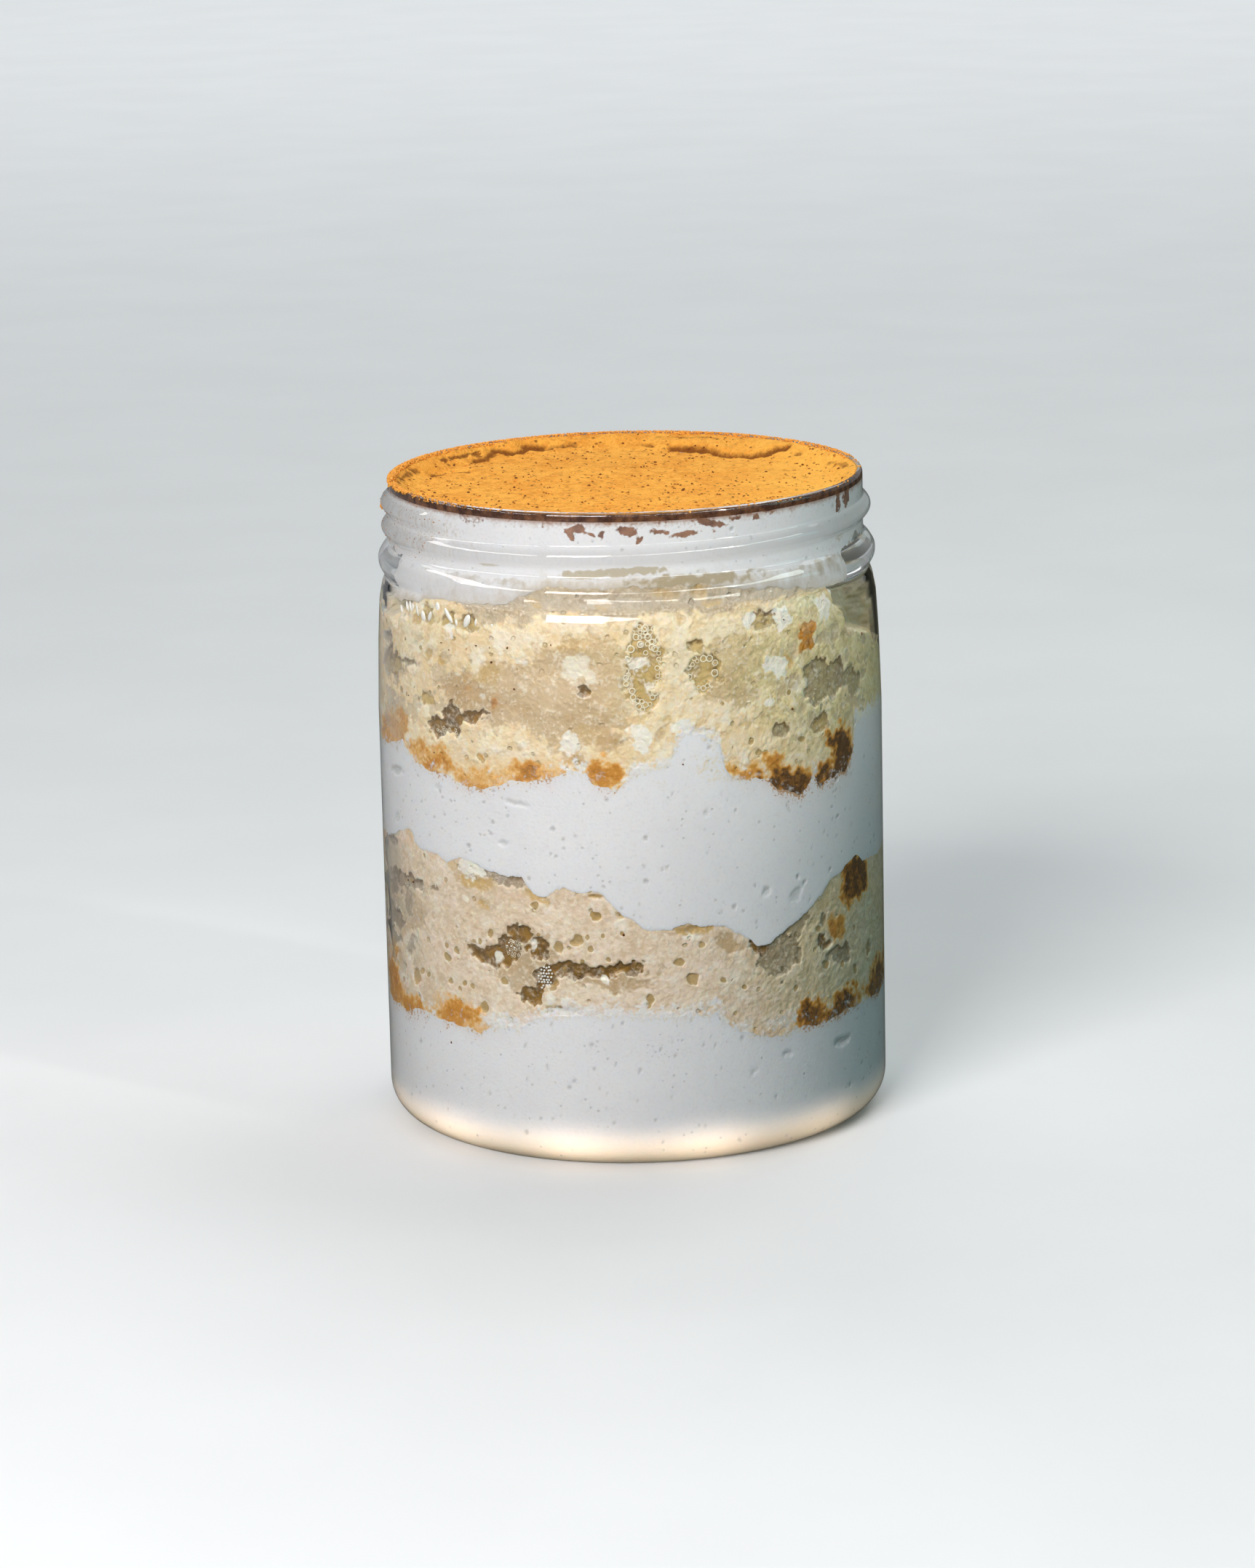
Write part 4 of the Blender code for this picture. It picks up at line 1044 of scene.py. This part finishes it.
def makeCreamFinish():
    bench = Bench("whippedCream")
    wide, middling = bench.grain(12.0, 2.0), bench.grain(2.0, 3.0, 1.0)
    fine = bench.grain(0.5, 2.0, 2.0)
    height = bench.add("SeparateXYZ", None, {0: bench.place}, out="Z")
    colour = bench.mix(wide.between(0.3, 0.7), (0.86, 0.845, 0.85), (0.83, 0.815, 0.825))
    colour = bench.mix(fine.between(0.5, 0.75) * 0.3, colour, (0.66, 0.66, 0.67))
    colour = bench.mix(middling.between(0.56, 0.75) * 0.2, colour, (0.70, 0.69, 0.69))
    # painted light: the bottom of the cream lighter and warmer, as if lit by light thrown up from below
    footBounceLight = height.between(9.0 * millimetre, 1.5 * millimetre)
    colour = bench.mix(footBounceLight * 0.95, colour, (0.97, 0.84, 0.68))
    small = bench.cells(1.7)
    pits = small.between(0.2, 0.08) * bench.cells(1.7, out="Color").between(0.56, 0.62)
    tiny = bench.cells(0.9).between(0.2, 0.1) * bench.mark("bubbly")
    holes = (pits * 0.8).larger(tiny).larger(bench.mark("pits"))
    # painted shade: pits, creases and tiny bubbles shown grey
    colour = bench.mix(holes * 0.55, colour, (0.42, 0.41, 0.39))
    strewn = bench.mark("crumbs") * 0.5 + (fine - 0.5) * 1.5 + (middling - 0.5) * 0.8
    colour = bench.mix(strewn.between(0.4, 0.75) * 0.7, colour, (0.82, 0.71, 0.53))
    colour = bench.mix(bench.mark("blush") * 0.45, colour, (0.74, 0.58, 0.54))
    specks = (bench.mark("blush") + (fine - 0.5) * 2.4 + (middling - 0.5) * 0.8).between(0.55, 0.85)
    colour = bench.mix(specks * 0.8, colour, (0.52, 0.26, 0.09))
    stained = (bench.mark("stain") + (fine - 0.5) * 0.6).between(0.2, 0.6)
    colour = bench.mix(stained * 0.85, colour, (0.50, 0.42, 0.28))
    # the cream's foot in the neck, greyish tan like the cake below it: partly cake colour blending in,
    # partly painted shade behind the bead
    low = (bench.mark("lowHaze") + (middling - 0.5) * 0.6 + (fine - 0.5) * 0.3).between(0.1, 0.95)
    colour = bench.mix(low * 0.85, colour, (0.62, 0.53, 0.42))
    browner = (bench.mark("browner") + (middling - 0.5) * 0.9).between(0.2, 0.7)
    colour = bench.mix(browner * 0.85, colour, (0.42, 0.33, 0.19))
    colour = bench.mix(bench.mark("dust") * fine.between(0.4, 0.75) * 0.6, colour, (0.58, 0.45, 0.33))
    # painted shade under the thread and the bead
    colour = bench.mix(bench.mark("veil") * 0.42, colour, (0.50, 0.48, 0.47))
    hazy = (bench.mark("brownHaze") + (middling - 0.5) * 0.7 + (fine - 0.5) * 0.5).between(0.25, 0.95)
    colour = bench.mix(hazy * 0.75, colour, (0.38, 0.20, 0.12))
    smudged = (bench.mark("smudge") + (fine - 0.5) * 1.3 + (middling - 0.5) * 0.5).between(0.3, 0.75)
    colour = bench.mix(smudged * 0.95, colour,
                       bench.mix(middling.between(0.3, 0.7), (0.15, 0.055, 0.025), (0.34, 0.16, 0.085)))
    return bench.finish(bench.principled({
        "Base Color": colour, "Roughness": 0.5, "Specular IOR Level": 0.25,
        "Subsurface Weight": 0.4, "Subsurface Radius": (1.0, 0.8, 0.6),
        "Subsurface Scale": 1.4 * millimetre,
        "Normal": bench.bump(fine * 0.6 + middling * 0.4 - holes * 0.6, 0.16, 0.6)}))


def makeCream(name, settings, low, high, node, finish):
    levels = np.linspace(0.0, 1.0, settings["rows"]) ** settings["crowd"]
    bm = drum(levels, layers["lapRings"], layers["lapRings"], layers["sides"])
    return madePiece(bm, name, finish, [node], creamShape(settings, low, high))


def baseHeight(angle, share):
    return jar["bodyWall"] + baseRise(share * (jar["bodyRadius"] - jar["heelRound"])) - 0.05


def underPowder(angle, share):
    return powderHeight(angle, share) - powder["thickness"] + 0.1


whippedCream = makeCreamFinish()
creamBottom = makeCream("creamBottom", bottomCream, baseHeight, lowerFloor.at,
                        "cream_bottom", whippedCream)
creamMiddle = makeCream("creamMiddle", middleCream, lowerTop.at, upperFloor.at,
                        "cream_middle", whippedCream)
creamTop = makeCream("creamTop", topCream, upperTop.at, underPowder, "cream_top", whippedCream)

# loose grains of cinnamon, on the layer, on the rim and on the thread
grains = {
    "seed": 7, "sizes": (0.13, 0.36), "onTop": 900, "nearFront": 500, "onRim": 4200, "onThread": 130,
    # the stretches of the rim that the powder coats: (from angle, to angle, share of the grains)
    "rimStretches": [(-180.0, -66.0, 0.62), (140.0, 180.0, 0.2), (104.0, 140.0, 0.12),
                     (-66.0, -34.0, 0.04), (-34.0, 104.0, 0.02)],
    # single flecks between the cake and the wall
    "flecks": [(-47.5, 93.6), (-44.9, 92.6), (-36.7, 94.1), (-33.0, 94.0), (-28.3, 94.3),
               (-32.5, 91.5), (-17.7, 95.3), (-60.3, 82.5), (-50.2, 73.5), (-26.6, 87.1),
               (37.8, 97.3), (39.0, 81.3), (67.4, 90.8), (11.4, 73.9), (-63.2, 48.0), (-60.6, 48.1),
               (-47.3, 20.3), (-2.6, 43.5), (121.0, 90.0), (160.0, 84.0), (205.0, 96.0),
               (240.0, 47.0), (100.0, 44.0)],
    "clump": {"angle": -86.0, "radius": 43.9, "height": 113.6, "reach": 1.3, "grains": 110},
    "rimClump": {"angle": -82.0, "radius": 42.3, "height": 118.3, "reach": 2.2, "grains": 160},
}


def makeGrainFinish():
    bench = Bench("cinnamonGrains")
    tone = bench.ramp(bench.mark("tone"), [(0.0, (0.16, 0.05, 0.012)), (0.35, (0.38, 0.13, 0.02)),
                                           (0.55, (0.78, 0.31, 0.045)), (1.0, (0.95, 0.47, 0.10))])
    return bench.finish(bench.principled({"Base Color": tone, "Roughness": 0.9,
                                          "Specular IOR Level": 0.1}))


def grainPlaces(draw):
    # (place, size, tone): tone 0 is dark bark and 1 is light powder
    low, high = grains["sizes"]

    def onLayer(angle, share):
        above = Vector(aroundJar(angle, share * (neckBore - 0.3), 2.0 * jar["height"])) * millimetre
        return cinnamonLayer.ray_cast(above, (0.0, 0.0, -1.0))[1] / millimetre

    for _ in range(grains["onTop"]):
        place = onLayer(draw.uniform(-180.0, 180.0), math.sqrt(draw.random()) * 0.985)
        yield place, draw.uniform(low, high), draw.random() ** 1.6
    for _ in range(grains["nearFront"]):
        place = onLayer(draw.gauss(0.0, 38.0), 1.0 - 0.3 * draw.random() ** 1.7)
        yield place, draw.uniform(low, high), 0.6 * draw.random() ** 1.5
    stretches = [stretch[:2] for stretch in grains["rimStretches"]]
    shares = [stretch[2] for stretch in grains["rimStretches"]]
    for start, end in draw.choices(stretches, shares, k=grains["onRim"]):
        across = draw.uniform(-1.0, 1.0)
        radius = 0.5 * (neckBore + jar["neckRadius"]) - 0.12 + 0.76 * across
        height = jar["height"] + 0.05 - 0.45 * across ** 2
        place = Vector(aroundJar(np.array(draw.uniform(start, end)), radius, height))
        yield place, draw.uniform(low, 0.75 * high), 0.45 + 0.55 * draw.random()
    for clump in (grains["clump"], grains["rimClump"]):
        middle = Vector(aroundJar(np.array(clump["angle"]), clump["radius"], clump["height"]))
        for _ in range(clump["grains"]):
            offset = Vector([draw.gauss(0.0, 0.4) for _ in range(3)]) * clump["reach"]
            place = middle + offset * Vector((0.35, 1.0, 0.5))
            yield place, draw.uniform(low, high), 0.4 + 0.6 * draw.random()
    for _ in range(grains["onThread"]):
        angle, height = draw.uniform(-100.0, -48.0), draw.uniform(107.0, 117.0)
        radius = jar["neckRadius"] + float(threadRise(np.array(angle), np.array(height)))
        place = Vector(aroundJar(np.array(angle), radius, height))
        yield place, draw.uniform(0.07, 0.16), 0.3 * draw.random() + 0.2
    for angle, height in grains["flecks"]:
        radius = float(boreRadius(height)) + layers["press"] + layers["creamOver"]
        yield Vector(aroundJar(np.array(angle), radius, height)), draw.uniform(0.2, 0.32), 0.0


def scattered(places, detail, marked=None, shape=None):
    # many small ovals in one mesh, or copies of a shape: each item is a matrix and a value for the mark
    whole = bmesh.new()
    batch = bmesh.new()
    for number, (matrix, value) in enumerate(places, 1):
        before = len(batch.verts)
        if shape:
            batch.from_mesh(shape)
            batch.verts.ensure_lookup_table()
            bmesh.ops.transform(batch, matrix=matrix, verts=batch.verts[before:])
        else:
            bmesh.ops.create_icosphere(batch, subdivisions=detail, radius=1.0, matrix=matrix)
        if marked:
            layer = batch.verts.layers.float.get(marked) or batch.verts.layers.float.new(marked)
            batch.verts.ensure_lookup_table()
            for vert in batch.verts[before:]:
                vert[layer] = value
        if number % 60 == 0 or number == len(places):
            mesh = bpy.data.meshes.new("batch")
            batch.to_mesh(mesh)
            whole.from_mesh(mesh)
            bpy.data.meshes.remove(mesh)
            batch.clear()
    batch.free()
    return whole


def grainMatrix(draw, place, size):
    turn = Matrix.Rotation(draw.uniform(0.0, math.tau), 4,
                           (draw.random(), draw.random(), draw.random() + 0.1))
    stretch = Matrix.Diagonal((size, size * draw.uniform(0.5, 1.0), size * draw.uniform(0.4, 0.8), 1.0))
    return Matrix.Translation(place) @ turn @ stretch


def makeGrains():
    draw = random.Random(grains["seed"])
    bpy.context.view_layer.update()
    places = [(grainMatrix(draw, place, size), shade) for place, size, shade in grainPlaces(draw)]
    return madePiece(scattered(places, 1, "tone"), "cinnamonGrains", makeGrainFinish())


cinnamonGrains = makeGrains()

# drops and bubbles caught between the cake and the wall
drops = {
    "seed": 11, "highlightRingThickness": 0.2, "highlightRingColour": (0.95, 0.86, 0.64), "milkColour": (0.95, 0.92, 0.86),
    # clear bubbles: (angle, height, half width, half height in millimetres, count, from size,
    # to size, at the edge only)
    "bubbles": [
        (3.0, 91.2, 3.1, 7.0, 46, 0.32, 0.6, True), (4.5, 96.2, 1.9, 2.4, 16, 0.3, 0.55, False),
        (16.6, 89.8, 2.7, 3.0, 26, 0.3, 0.62, True), (-45.5, 77.8, 2.8, 0.8, 22, 0.14, 0.26, False),
        (-25.3, 83.8, 1.2, 0.6, 5, 0.3, 0.5, False), (-12.8, 82.5, 0.4, 0.4, 2, 0.35, 0.45, False),
        (-28.4, 40.0, 1.6, 1.6, 26, 0.14, 0.26, False), (37.0, 95.6, 1.4, 1.0, 8, 0.3, 0.5, False),
        (8.0, 99.0, 5.0, 0.8, 5, 0.2, 0.4, False), (-2.0, 85.0, 2.0, 2.0, 5, 0.3, 0.5, False),
    ],
    # close-packed milk droplets: (angle, height, half width, half height, spacing, size)
    "pearls": [(-20.9, 35.4, 1.55, 2.3, 0.56, 0.2), (-29.2, 40.2, 1.5, 1.1, 0.8, 0.15),
               (-20.4, 31.6, 1.9, 0.9, 0.9, 0.24)],
    # slanting runs of cream, white partly as painted highlight where light glints on them: (angle,
    # height, half width, half height, lean)
    "runs": [(-62.6, 98.2, 0.35, 1.1, -25), (-61.0, 98.4, 0.35, 1.1, -25), (-59.4, 98.2, 0.4, 1.2, -28),
             (-57.4, 98.0, 0.6, 1.5, -28), (-55.0, 97.4, 0.9, 1.2, -28), (-52.4, 97.6, 0.6, 1.2, 20),
             (-49.6, 99.2, 0.9, 1.5, -30), (-45.8, 98.4, 0.65, 1.9, -42), (-43.0, 97.4, 0.5, 0.8, -20),
             (-40.0, 98.0, 1.0, 1.5, 24), (-37.2, 98.0, 0.5, 0.8, 10), (-34.6, 97.6, 0.35, 0.4, 0),
             (-32.6, 97.8, 0.6, 0.5, 0), (-65.4, 97.4, 0.3, 0.9, -25)],
}


def makeDropFinish():
    bench = Bench("clearDrops")
    water = bench.principled({"Base Color": (1.0, 0.97, 0.9, 1.0), "Roughness": 0.02, "IOR": 1.4,
                              "Transmission Weight": 1.0})
    return bench.finishClear(water)


def makeMilkFinish(name, colour):
    bench = Bench(name)
    return bench.finish(bench.principled({"Base Color": (*colour, 1.0), "Roughness": 0.12,
                                          "Specular IOR Level": 0.8}))


def onWall(angle, height, inset):
    return Vector(aroundJar(np.array(angle), float(boreRadius(height)) - inset, height))


def blobMatrix(angle, height, sizes, lean, inset):
    # an oval lying against the wall: sizes across, out and up
    facing = Matrix.Rotation(math.radians(angle), 4, "Z") @ Matrix.Rotation(math.radians(lean), 4, "Y")
    return Matrix.Translation(onWall(angle, height, inset)) @ facing @ Matrix.Diagonal((*sizes, 1.0))


def bubblePlaces():
    # (angle, height, size) of each bubble, none overlapping another
    draw = random.Random(drops["seed"])
    toAngle = math.degrees(1.0 / bodyBore)
    for angle, height, wide, tall, count, small, large, atEdge in drops["bubbles"]:
        taken = []
        for _ in range(count * 6):
            size, turn = draw.uniform(small, large), draw.uniform(0.0, math.tau)
            reach = draw.uniform(0.8, 1.05) if atEdge else math.sqrt(draw.random())
            across, up = wide * reach * math.cos(turn), tall * reach * math.sin(turn)
            free = all(math.hypot(across - x, up - z) > 0.95 * (size + other) for x, z, other in taken)
            if free and len(taken) < count:
                taken.append((across, up, size))
        for across, up, size in taken:
            yield angle + across * toAngle, height + up, size


def makeBubbles():
    places = [(blobMatrix(angle, height, (size, 0.8 * size, size), 0.0, 0.85 * size), 0.0)
              for angle, height, size in bubblePlaces()]
    return madePiece(scattered(places, 2), "clearBubbles", makeDropFinish())


def makeBubbleHighlightRings():
    # painted highlight: a pale ring for the bright rim that each bubble shows
    thick = drops["highlightRingThickness"]
    bm = turned([(1.0 + radius, height) for radius, height in arc(0.0, 0.0, thick, 0.0, 360.0, 4)], 12)
    bmesh.ops.transform(bm, matrix=Matrix.Rotation(math.radians(90.0), 4, "X"), verts=bm.verts)
    ring = bpy.data.meshes.new("ring")
    bm.to_mesh(ring)
    bm.free()
    places = [(blobMatrix(angle, height, (size, 0.5 * size, size), 0.0, 0.12), 0.0)
              for angle, height, size in bubblePlaces()]
    whole = scattered(places, 1, shape=ring)
    bpy.data.meshes.remove(ring)
    return madePiece(whole, "bubbleHighlightRings", makeMilkFinish("bubbleHighlightRings", drops["highlightRingColour"]))


def makeMilkDrops():
    draw = random.Random(drops["seed"] + 1)
    places = []
    toAngle = math.degrees(1.0 / bodyBore)
    for angle, height, wide, tall, spacing, size in drops["pearls"]:
        columns, rows = int(wide / spacing), int(tall / spacing)
        for column in range(-columns, columns + 1):
            for row in range(-rows, rows + 1):
                across = (column + 0.5 * (row % 2) + draw.uniform(-0.2, 0.2)) * spacing
                up = (row + draw.uniform(-0.2, 0.2)) * spacing
                if math.hypot(across / wide, up / tall) < draw.uniform(0.75, 1.1):
                    drop = blobMatrix(angle + across * toAngle, height + up, (size, size, size), 0.0,
                                      0.8 * size)
                    places.append((drop, 0.0))
    for angle, height, wide, tall, lean in drops["runs"]:
        places.append((blobMatrix(angle, height, (0.7 * wide, 0.3, 0.9 * tall), lean, 0.2), 0.0))
    milk = makeMilkFinish("milkDrops", drops["milkColour"])
    return madePiece(scattered(places, 2), "milkDrops", milk)


clearBubbles = makeBubbles()
bubbleHighlightRings = makeBubbleHighlightRings()
milkDrops = makeMilkDrops()

# the room
room = {
    "floorColour": (0.80, 0.81, 0.82), "floorReach": 12.0,
    # the floor as the jar mirrors it, and as it throws light back
    "mirroredFloor": (0.07, 0.065, 0.05), "mirroredLeft": (0.42, 0.41, 0.42),
    "bouncedFloor": (0.14, 0.17, 0.17),
    "worldColour": (0.35, 0.85, 0.95), "worldStrength": 0.07, "wallColour": (0.36, 0.37, 0.38),
    "backdrop": (0.70, 0.74, 0.76),
    # softboxes: (angle, height in degrees, distance, width, depth, watts, whether it lights
    # matt surfaces, colour)
    "lamps": {
        "key": (-25.0, 33.0, 0.95, 0.42, 0.32, 8.4, True, (1.0, 0.965, 0.96)),
        "farLeft": (-104.0, 37.0, 0.90, 0.50, 0.12, 1.3, False, (1.0, 0.98, 0.98)),
        "left": (-68.0, 36.0, 0.90, 0.55, 0.12, 2.2, False, (1.0, 0.98, 0.98)),
        "front": (22.0, 34.0, 0.90, 1.20, 0.06, 3.2, False, (1.0, 1.0, 1.0)),
        "right": (40.0, 37.0, 0.90, 0.50, 0.10, 1.6, False, (0.9, 1.0, 0.99)),
        "farRight": (80.0, 36.0, 0.90, 0.50, 0.10, 1.2, False, (0.85, 1.0, 0.99)),
        "top": (130.0, 64.0, 0.95, 0.40, 0.40, 2.0, True, (1.0, 0.97, 0.93)),
        "cool": (86.0, 18.0, 0.95, 0.40, 0.30, 0.55, True, (0.30, 0.95, 1.0)),
    },
    # a snooted lamp on the upper right, aimed at the place that it lights: (angle, radius, height)
    "snoot": {"angle": 52.0, "rise": 32.0, "distance": 0.7, "aim": (44.0, 40.0, 114.0), "beam": 5.6,
              "watts": 22.0, "size": 0.05, "colour": (1.0, 0.99, 0.93)},
    "aim": 62.0,
    # a wide lamp over the far floor, pointing straight down
    "wash": {"place": (0.0, 2.5, 1.9), "width": 3.8, "depth": 2.8, "watts": 66.0},
    # light thrown up on the jar's foot by strips lying round it, (angle, watts), which light
    # only the jar and its bottom cream
    "foot": {"strips": [(-64.0, 0.0005), (-32.0, 0.00046), (0.0, 0.00062), (32.0, 0.0005),
                        (64.0, 0.00026)],
             "radius": 66.0, "height": 2.4, "width": 0.036, "depth": 0.004, "spread": 34.0,
             "colour": (1.0, 0.83, 0.70)},
}
view = {
    "pitch": 13.4528, "yaw": -0.0514, "roll": 1.3121, "distance": 912.167, "height": 278.143,
    "focalPixels": 7012.14, "longSide": 2156.0, "sensor": 36.0,
}


def towards(angle, rise):
    # the direction from the jar to a lamp
    rise = math.radians(rise)
    return Vector(aroundJar(np.array(angle), math.cos(rise), math.sin(rise)))


def makeRoom():
    bench = Bench("paleFloor")
    mottle = bench.grain(60.0, 3.0).between(0.3, 0.7)
    tone = room["floorColour"]
    colour = bench.mix(mottle, tone, tuple(0.97 * part for part in tone))
    bm = bmesh.new()
    bmesh.ops.create_grid(bm, x_segments=1, y_segments=1, size=room["floorReach"])
    mesh = bpy.data.meshes.new("floor")
    bm.to_mesh(mesh)
    bm.free()
    pale = bench.principled({"Base Color": colour, "Roughness": 0.6, "Specular IOR Level": 0.25})
    # towards the sides that the lamp over the far floor doesn't reach, the floor fades into
    # the backdrop
    reach = bench.add("VectorMath", {"operation": "LENGTH"}, {0: bench.place}, out="Value")
    unlit = bench.add("SeparateXYZ", None, {0: bench.place}, out="Y").between(1.2, -0.1)
    pale = bench.add("MixShader", None, {0: reach.between(0.6, 2.0) * unlit, 1: pale,
                                         2: bench.add("BsdfTransparent")})
    leftwards = bench.add("SeparateXYZ", None, {0: bench.place}, out="X").between(-0.02, -0.3)
    mirrored = bench.mix(leftwards, room["mirroredFloor"], room["mirroredLeft"])
    dim = bench.principled({"Base Color": mirrored, "Roughness": 1.0, "Specular IOR Level": 0.0})
    quiet = bench.principled({"Base Color": (*room["bouncedFloor"], 1.0), "Roughness": 1.0,
                              "Specular IOR Level": 0.0})
    bounced = bench.add("LightPath", out="Is Diffuse Ray")
    glossy = bench.add("LightPath", out="Is Glossy Ray")
    shown = bench.add("MixShader", None, {0: bounced, 1: pale, 2: quiet})
    mesh.materials.append(bench.finish(bench.add("MixShader", None, {0: glossy, 1: shown, 2: dim})))
    floor = bpy.data.objects.new("floor", mesh)
    bpy.context.scene.collection.objects.link(floor)
    makeWorld()
    aim = Vector((0.0, 0.0, room["aim"] * millimetre))
    for name, (angle, rise, distance, width, depth, watts, matt, colour) in room["lamps"].items():
        out = towards(angle, rise)
        makeLamp(name, aim + out * distance, out, (width, depth), watts, colour, matt)
    wash = room["wash"]
    makeLamp("wash", Vector(wash["place"]), Vector((0.0, 0.0, 1.0)), (wash["width"], wash["depth"]),
             wash["watts"], (1.0, 1.0, 1.0))
    foot = room["foot"]
    lit = bpy.data.collections.new("litFromTheFoot")
    for piece in (jarWall, creamBottom):
        lit.objects.link(piece)
    for angle, watts in foot["strips"]:
        place = Vector(aroundJar(np.array(angle), foot["radius"], foot["height"])) * millimetre
        strip = makeLamp("foot", place, towards(angle, 0.0), (foot["width"], foot["depth"]), watts,
                         foot["colour"])
        strip.data.spread = math.radians(foot["spread"])
        strip.light_linking.receiver_collection = lit
        strip.visible_camera = strip.visible_glossy = strip.visible_transmission = False
    snoot = room["snoot"]
    lamp = bpy.data.lights.new("snoot", "SPOT")
    lamp.spot_size, lamp.spot_blend = math.radians(snoot["beam"]), 1.0
    lamp.shadow_soft_size = snoot["size"]
    lamp.energy, lamp.color = snoot["watts"], snoot["colour"]
    angle, radius, height = snoot["aim"]
    aim = Vector(aroundJar(np.array(angle), radius, height)) * millimetre
    out = towards(snoot["angle"], snoot["rise"])
    placeLamp(lamp, aim + out * snoot["distance"], out)


def makeWorld():
    # matt surfaces get a little cool light from it, while the plastic mirrors paler walls
    bench = Bench("room", bpy.data.worlds.new("room"))
    bounced = bench.add("LightPath", out="Is Diffuse Ray")
    seen = bench.add("LightPath", out="Is Camera Ray")
    walls = bench.add("Background", None, {"Color": (*room["wallColour"], 1.0), "Strength": 1.0})
    cool = bench.add("Background", None, {"Color": (*room["worldColour"], 1.0),
                                          "Strength": room["worldStrength"]})
    backdrop = bench.add("Background", None, {"Color": (*room["backdrop"], 1.0), "Strength": 1.0})
    unseen = bench.add("MixShader", None, {0: bounced, 1: walls, 2: cool})
    whole = bench.add("MixShader", None, {0: seen, 1: unseen, 2: backdrop})
    bpy.context.scene.world = bench.finish(whole, "ShaderNodeOutputWorld")


def makeLamp(name, place, out, sizes, watts, colour, matt=True):
    # a softbox at place, shining against out
    lamp = bpy.data.lights.new(name, "AREA")
    lamp.shape, lamp.size, lamp.size_y = "RECTANGLE", *sizes
    lamp.energy, lamp.color = watts, colour
    stand = placeLamp(lamp, place, out)
    stand.visible_diffuse = matt
    return stand


def placeLamp(lamp, place, out):
    stand = bpy.data.objects.new(lamp.name, lamp)
    stand.matrix_world = Matrix.Translation(place) @ out.to_track_quat("Z", "Y").to_matrix().to_4x4()
    bpy.context.scene.collection.objects.link(stand)
    return stand


def makeCamera():
    camera = bpy.data.cameras.new("camera")
    camera.sensor_width = view["sensor"]
    camera.lens = view["sensor"] * view["focalPixels"] / view["longSide"]
    camera.clip_start, camera.clip_end = 0.05, 60.0
    holder = bpy.data.objects.new("camera", camera)
    turns = [Matrix.Rotation(math.radians(angle), 4, axis) for angle, axis in
             ((-view["yaw"], "Z"), (90.0 - view["pitch"], "X"), (-view["roll"], "Z"))]
    place = Vector((0.0, -view["distance"], view["height"])) * millimetre
    holder.matrix_world = Matrix.Translation(place) @ turns[0] @ turns[1] @ turns[2]
    bpy.context.scene.collection.objects.link(holder)
    bpy.context.scene.camera = holder


makeRoom()
makeCamera()
bpy.context.scene.view_settings.view_transform = "Standard"
print("room and camera placed")
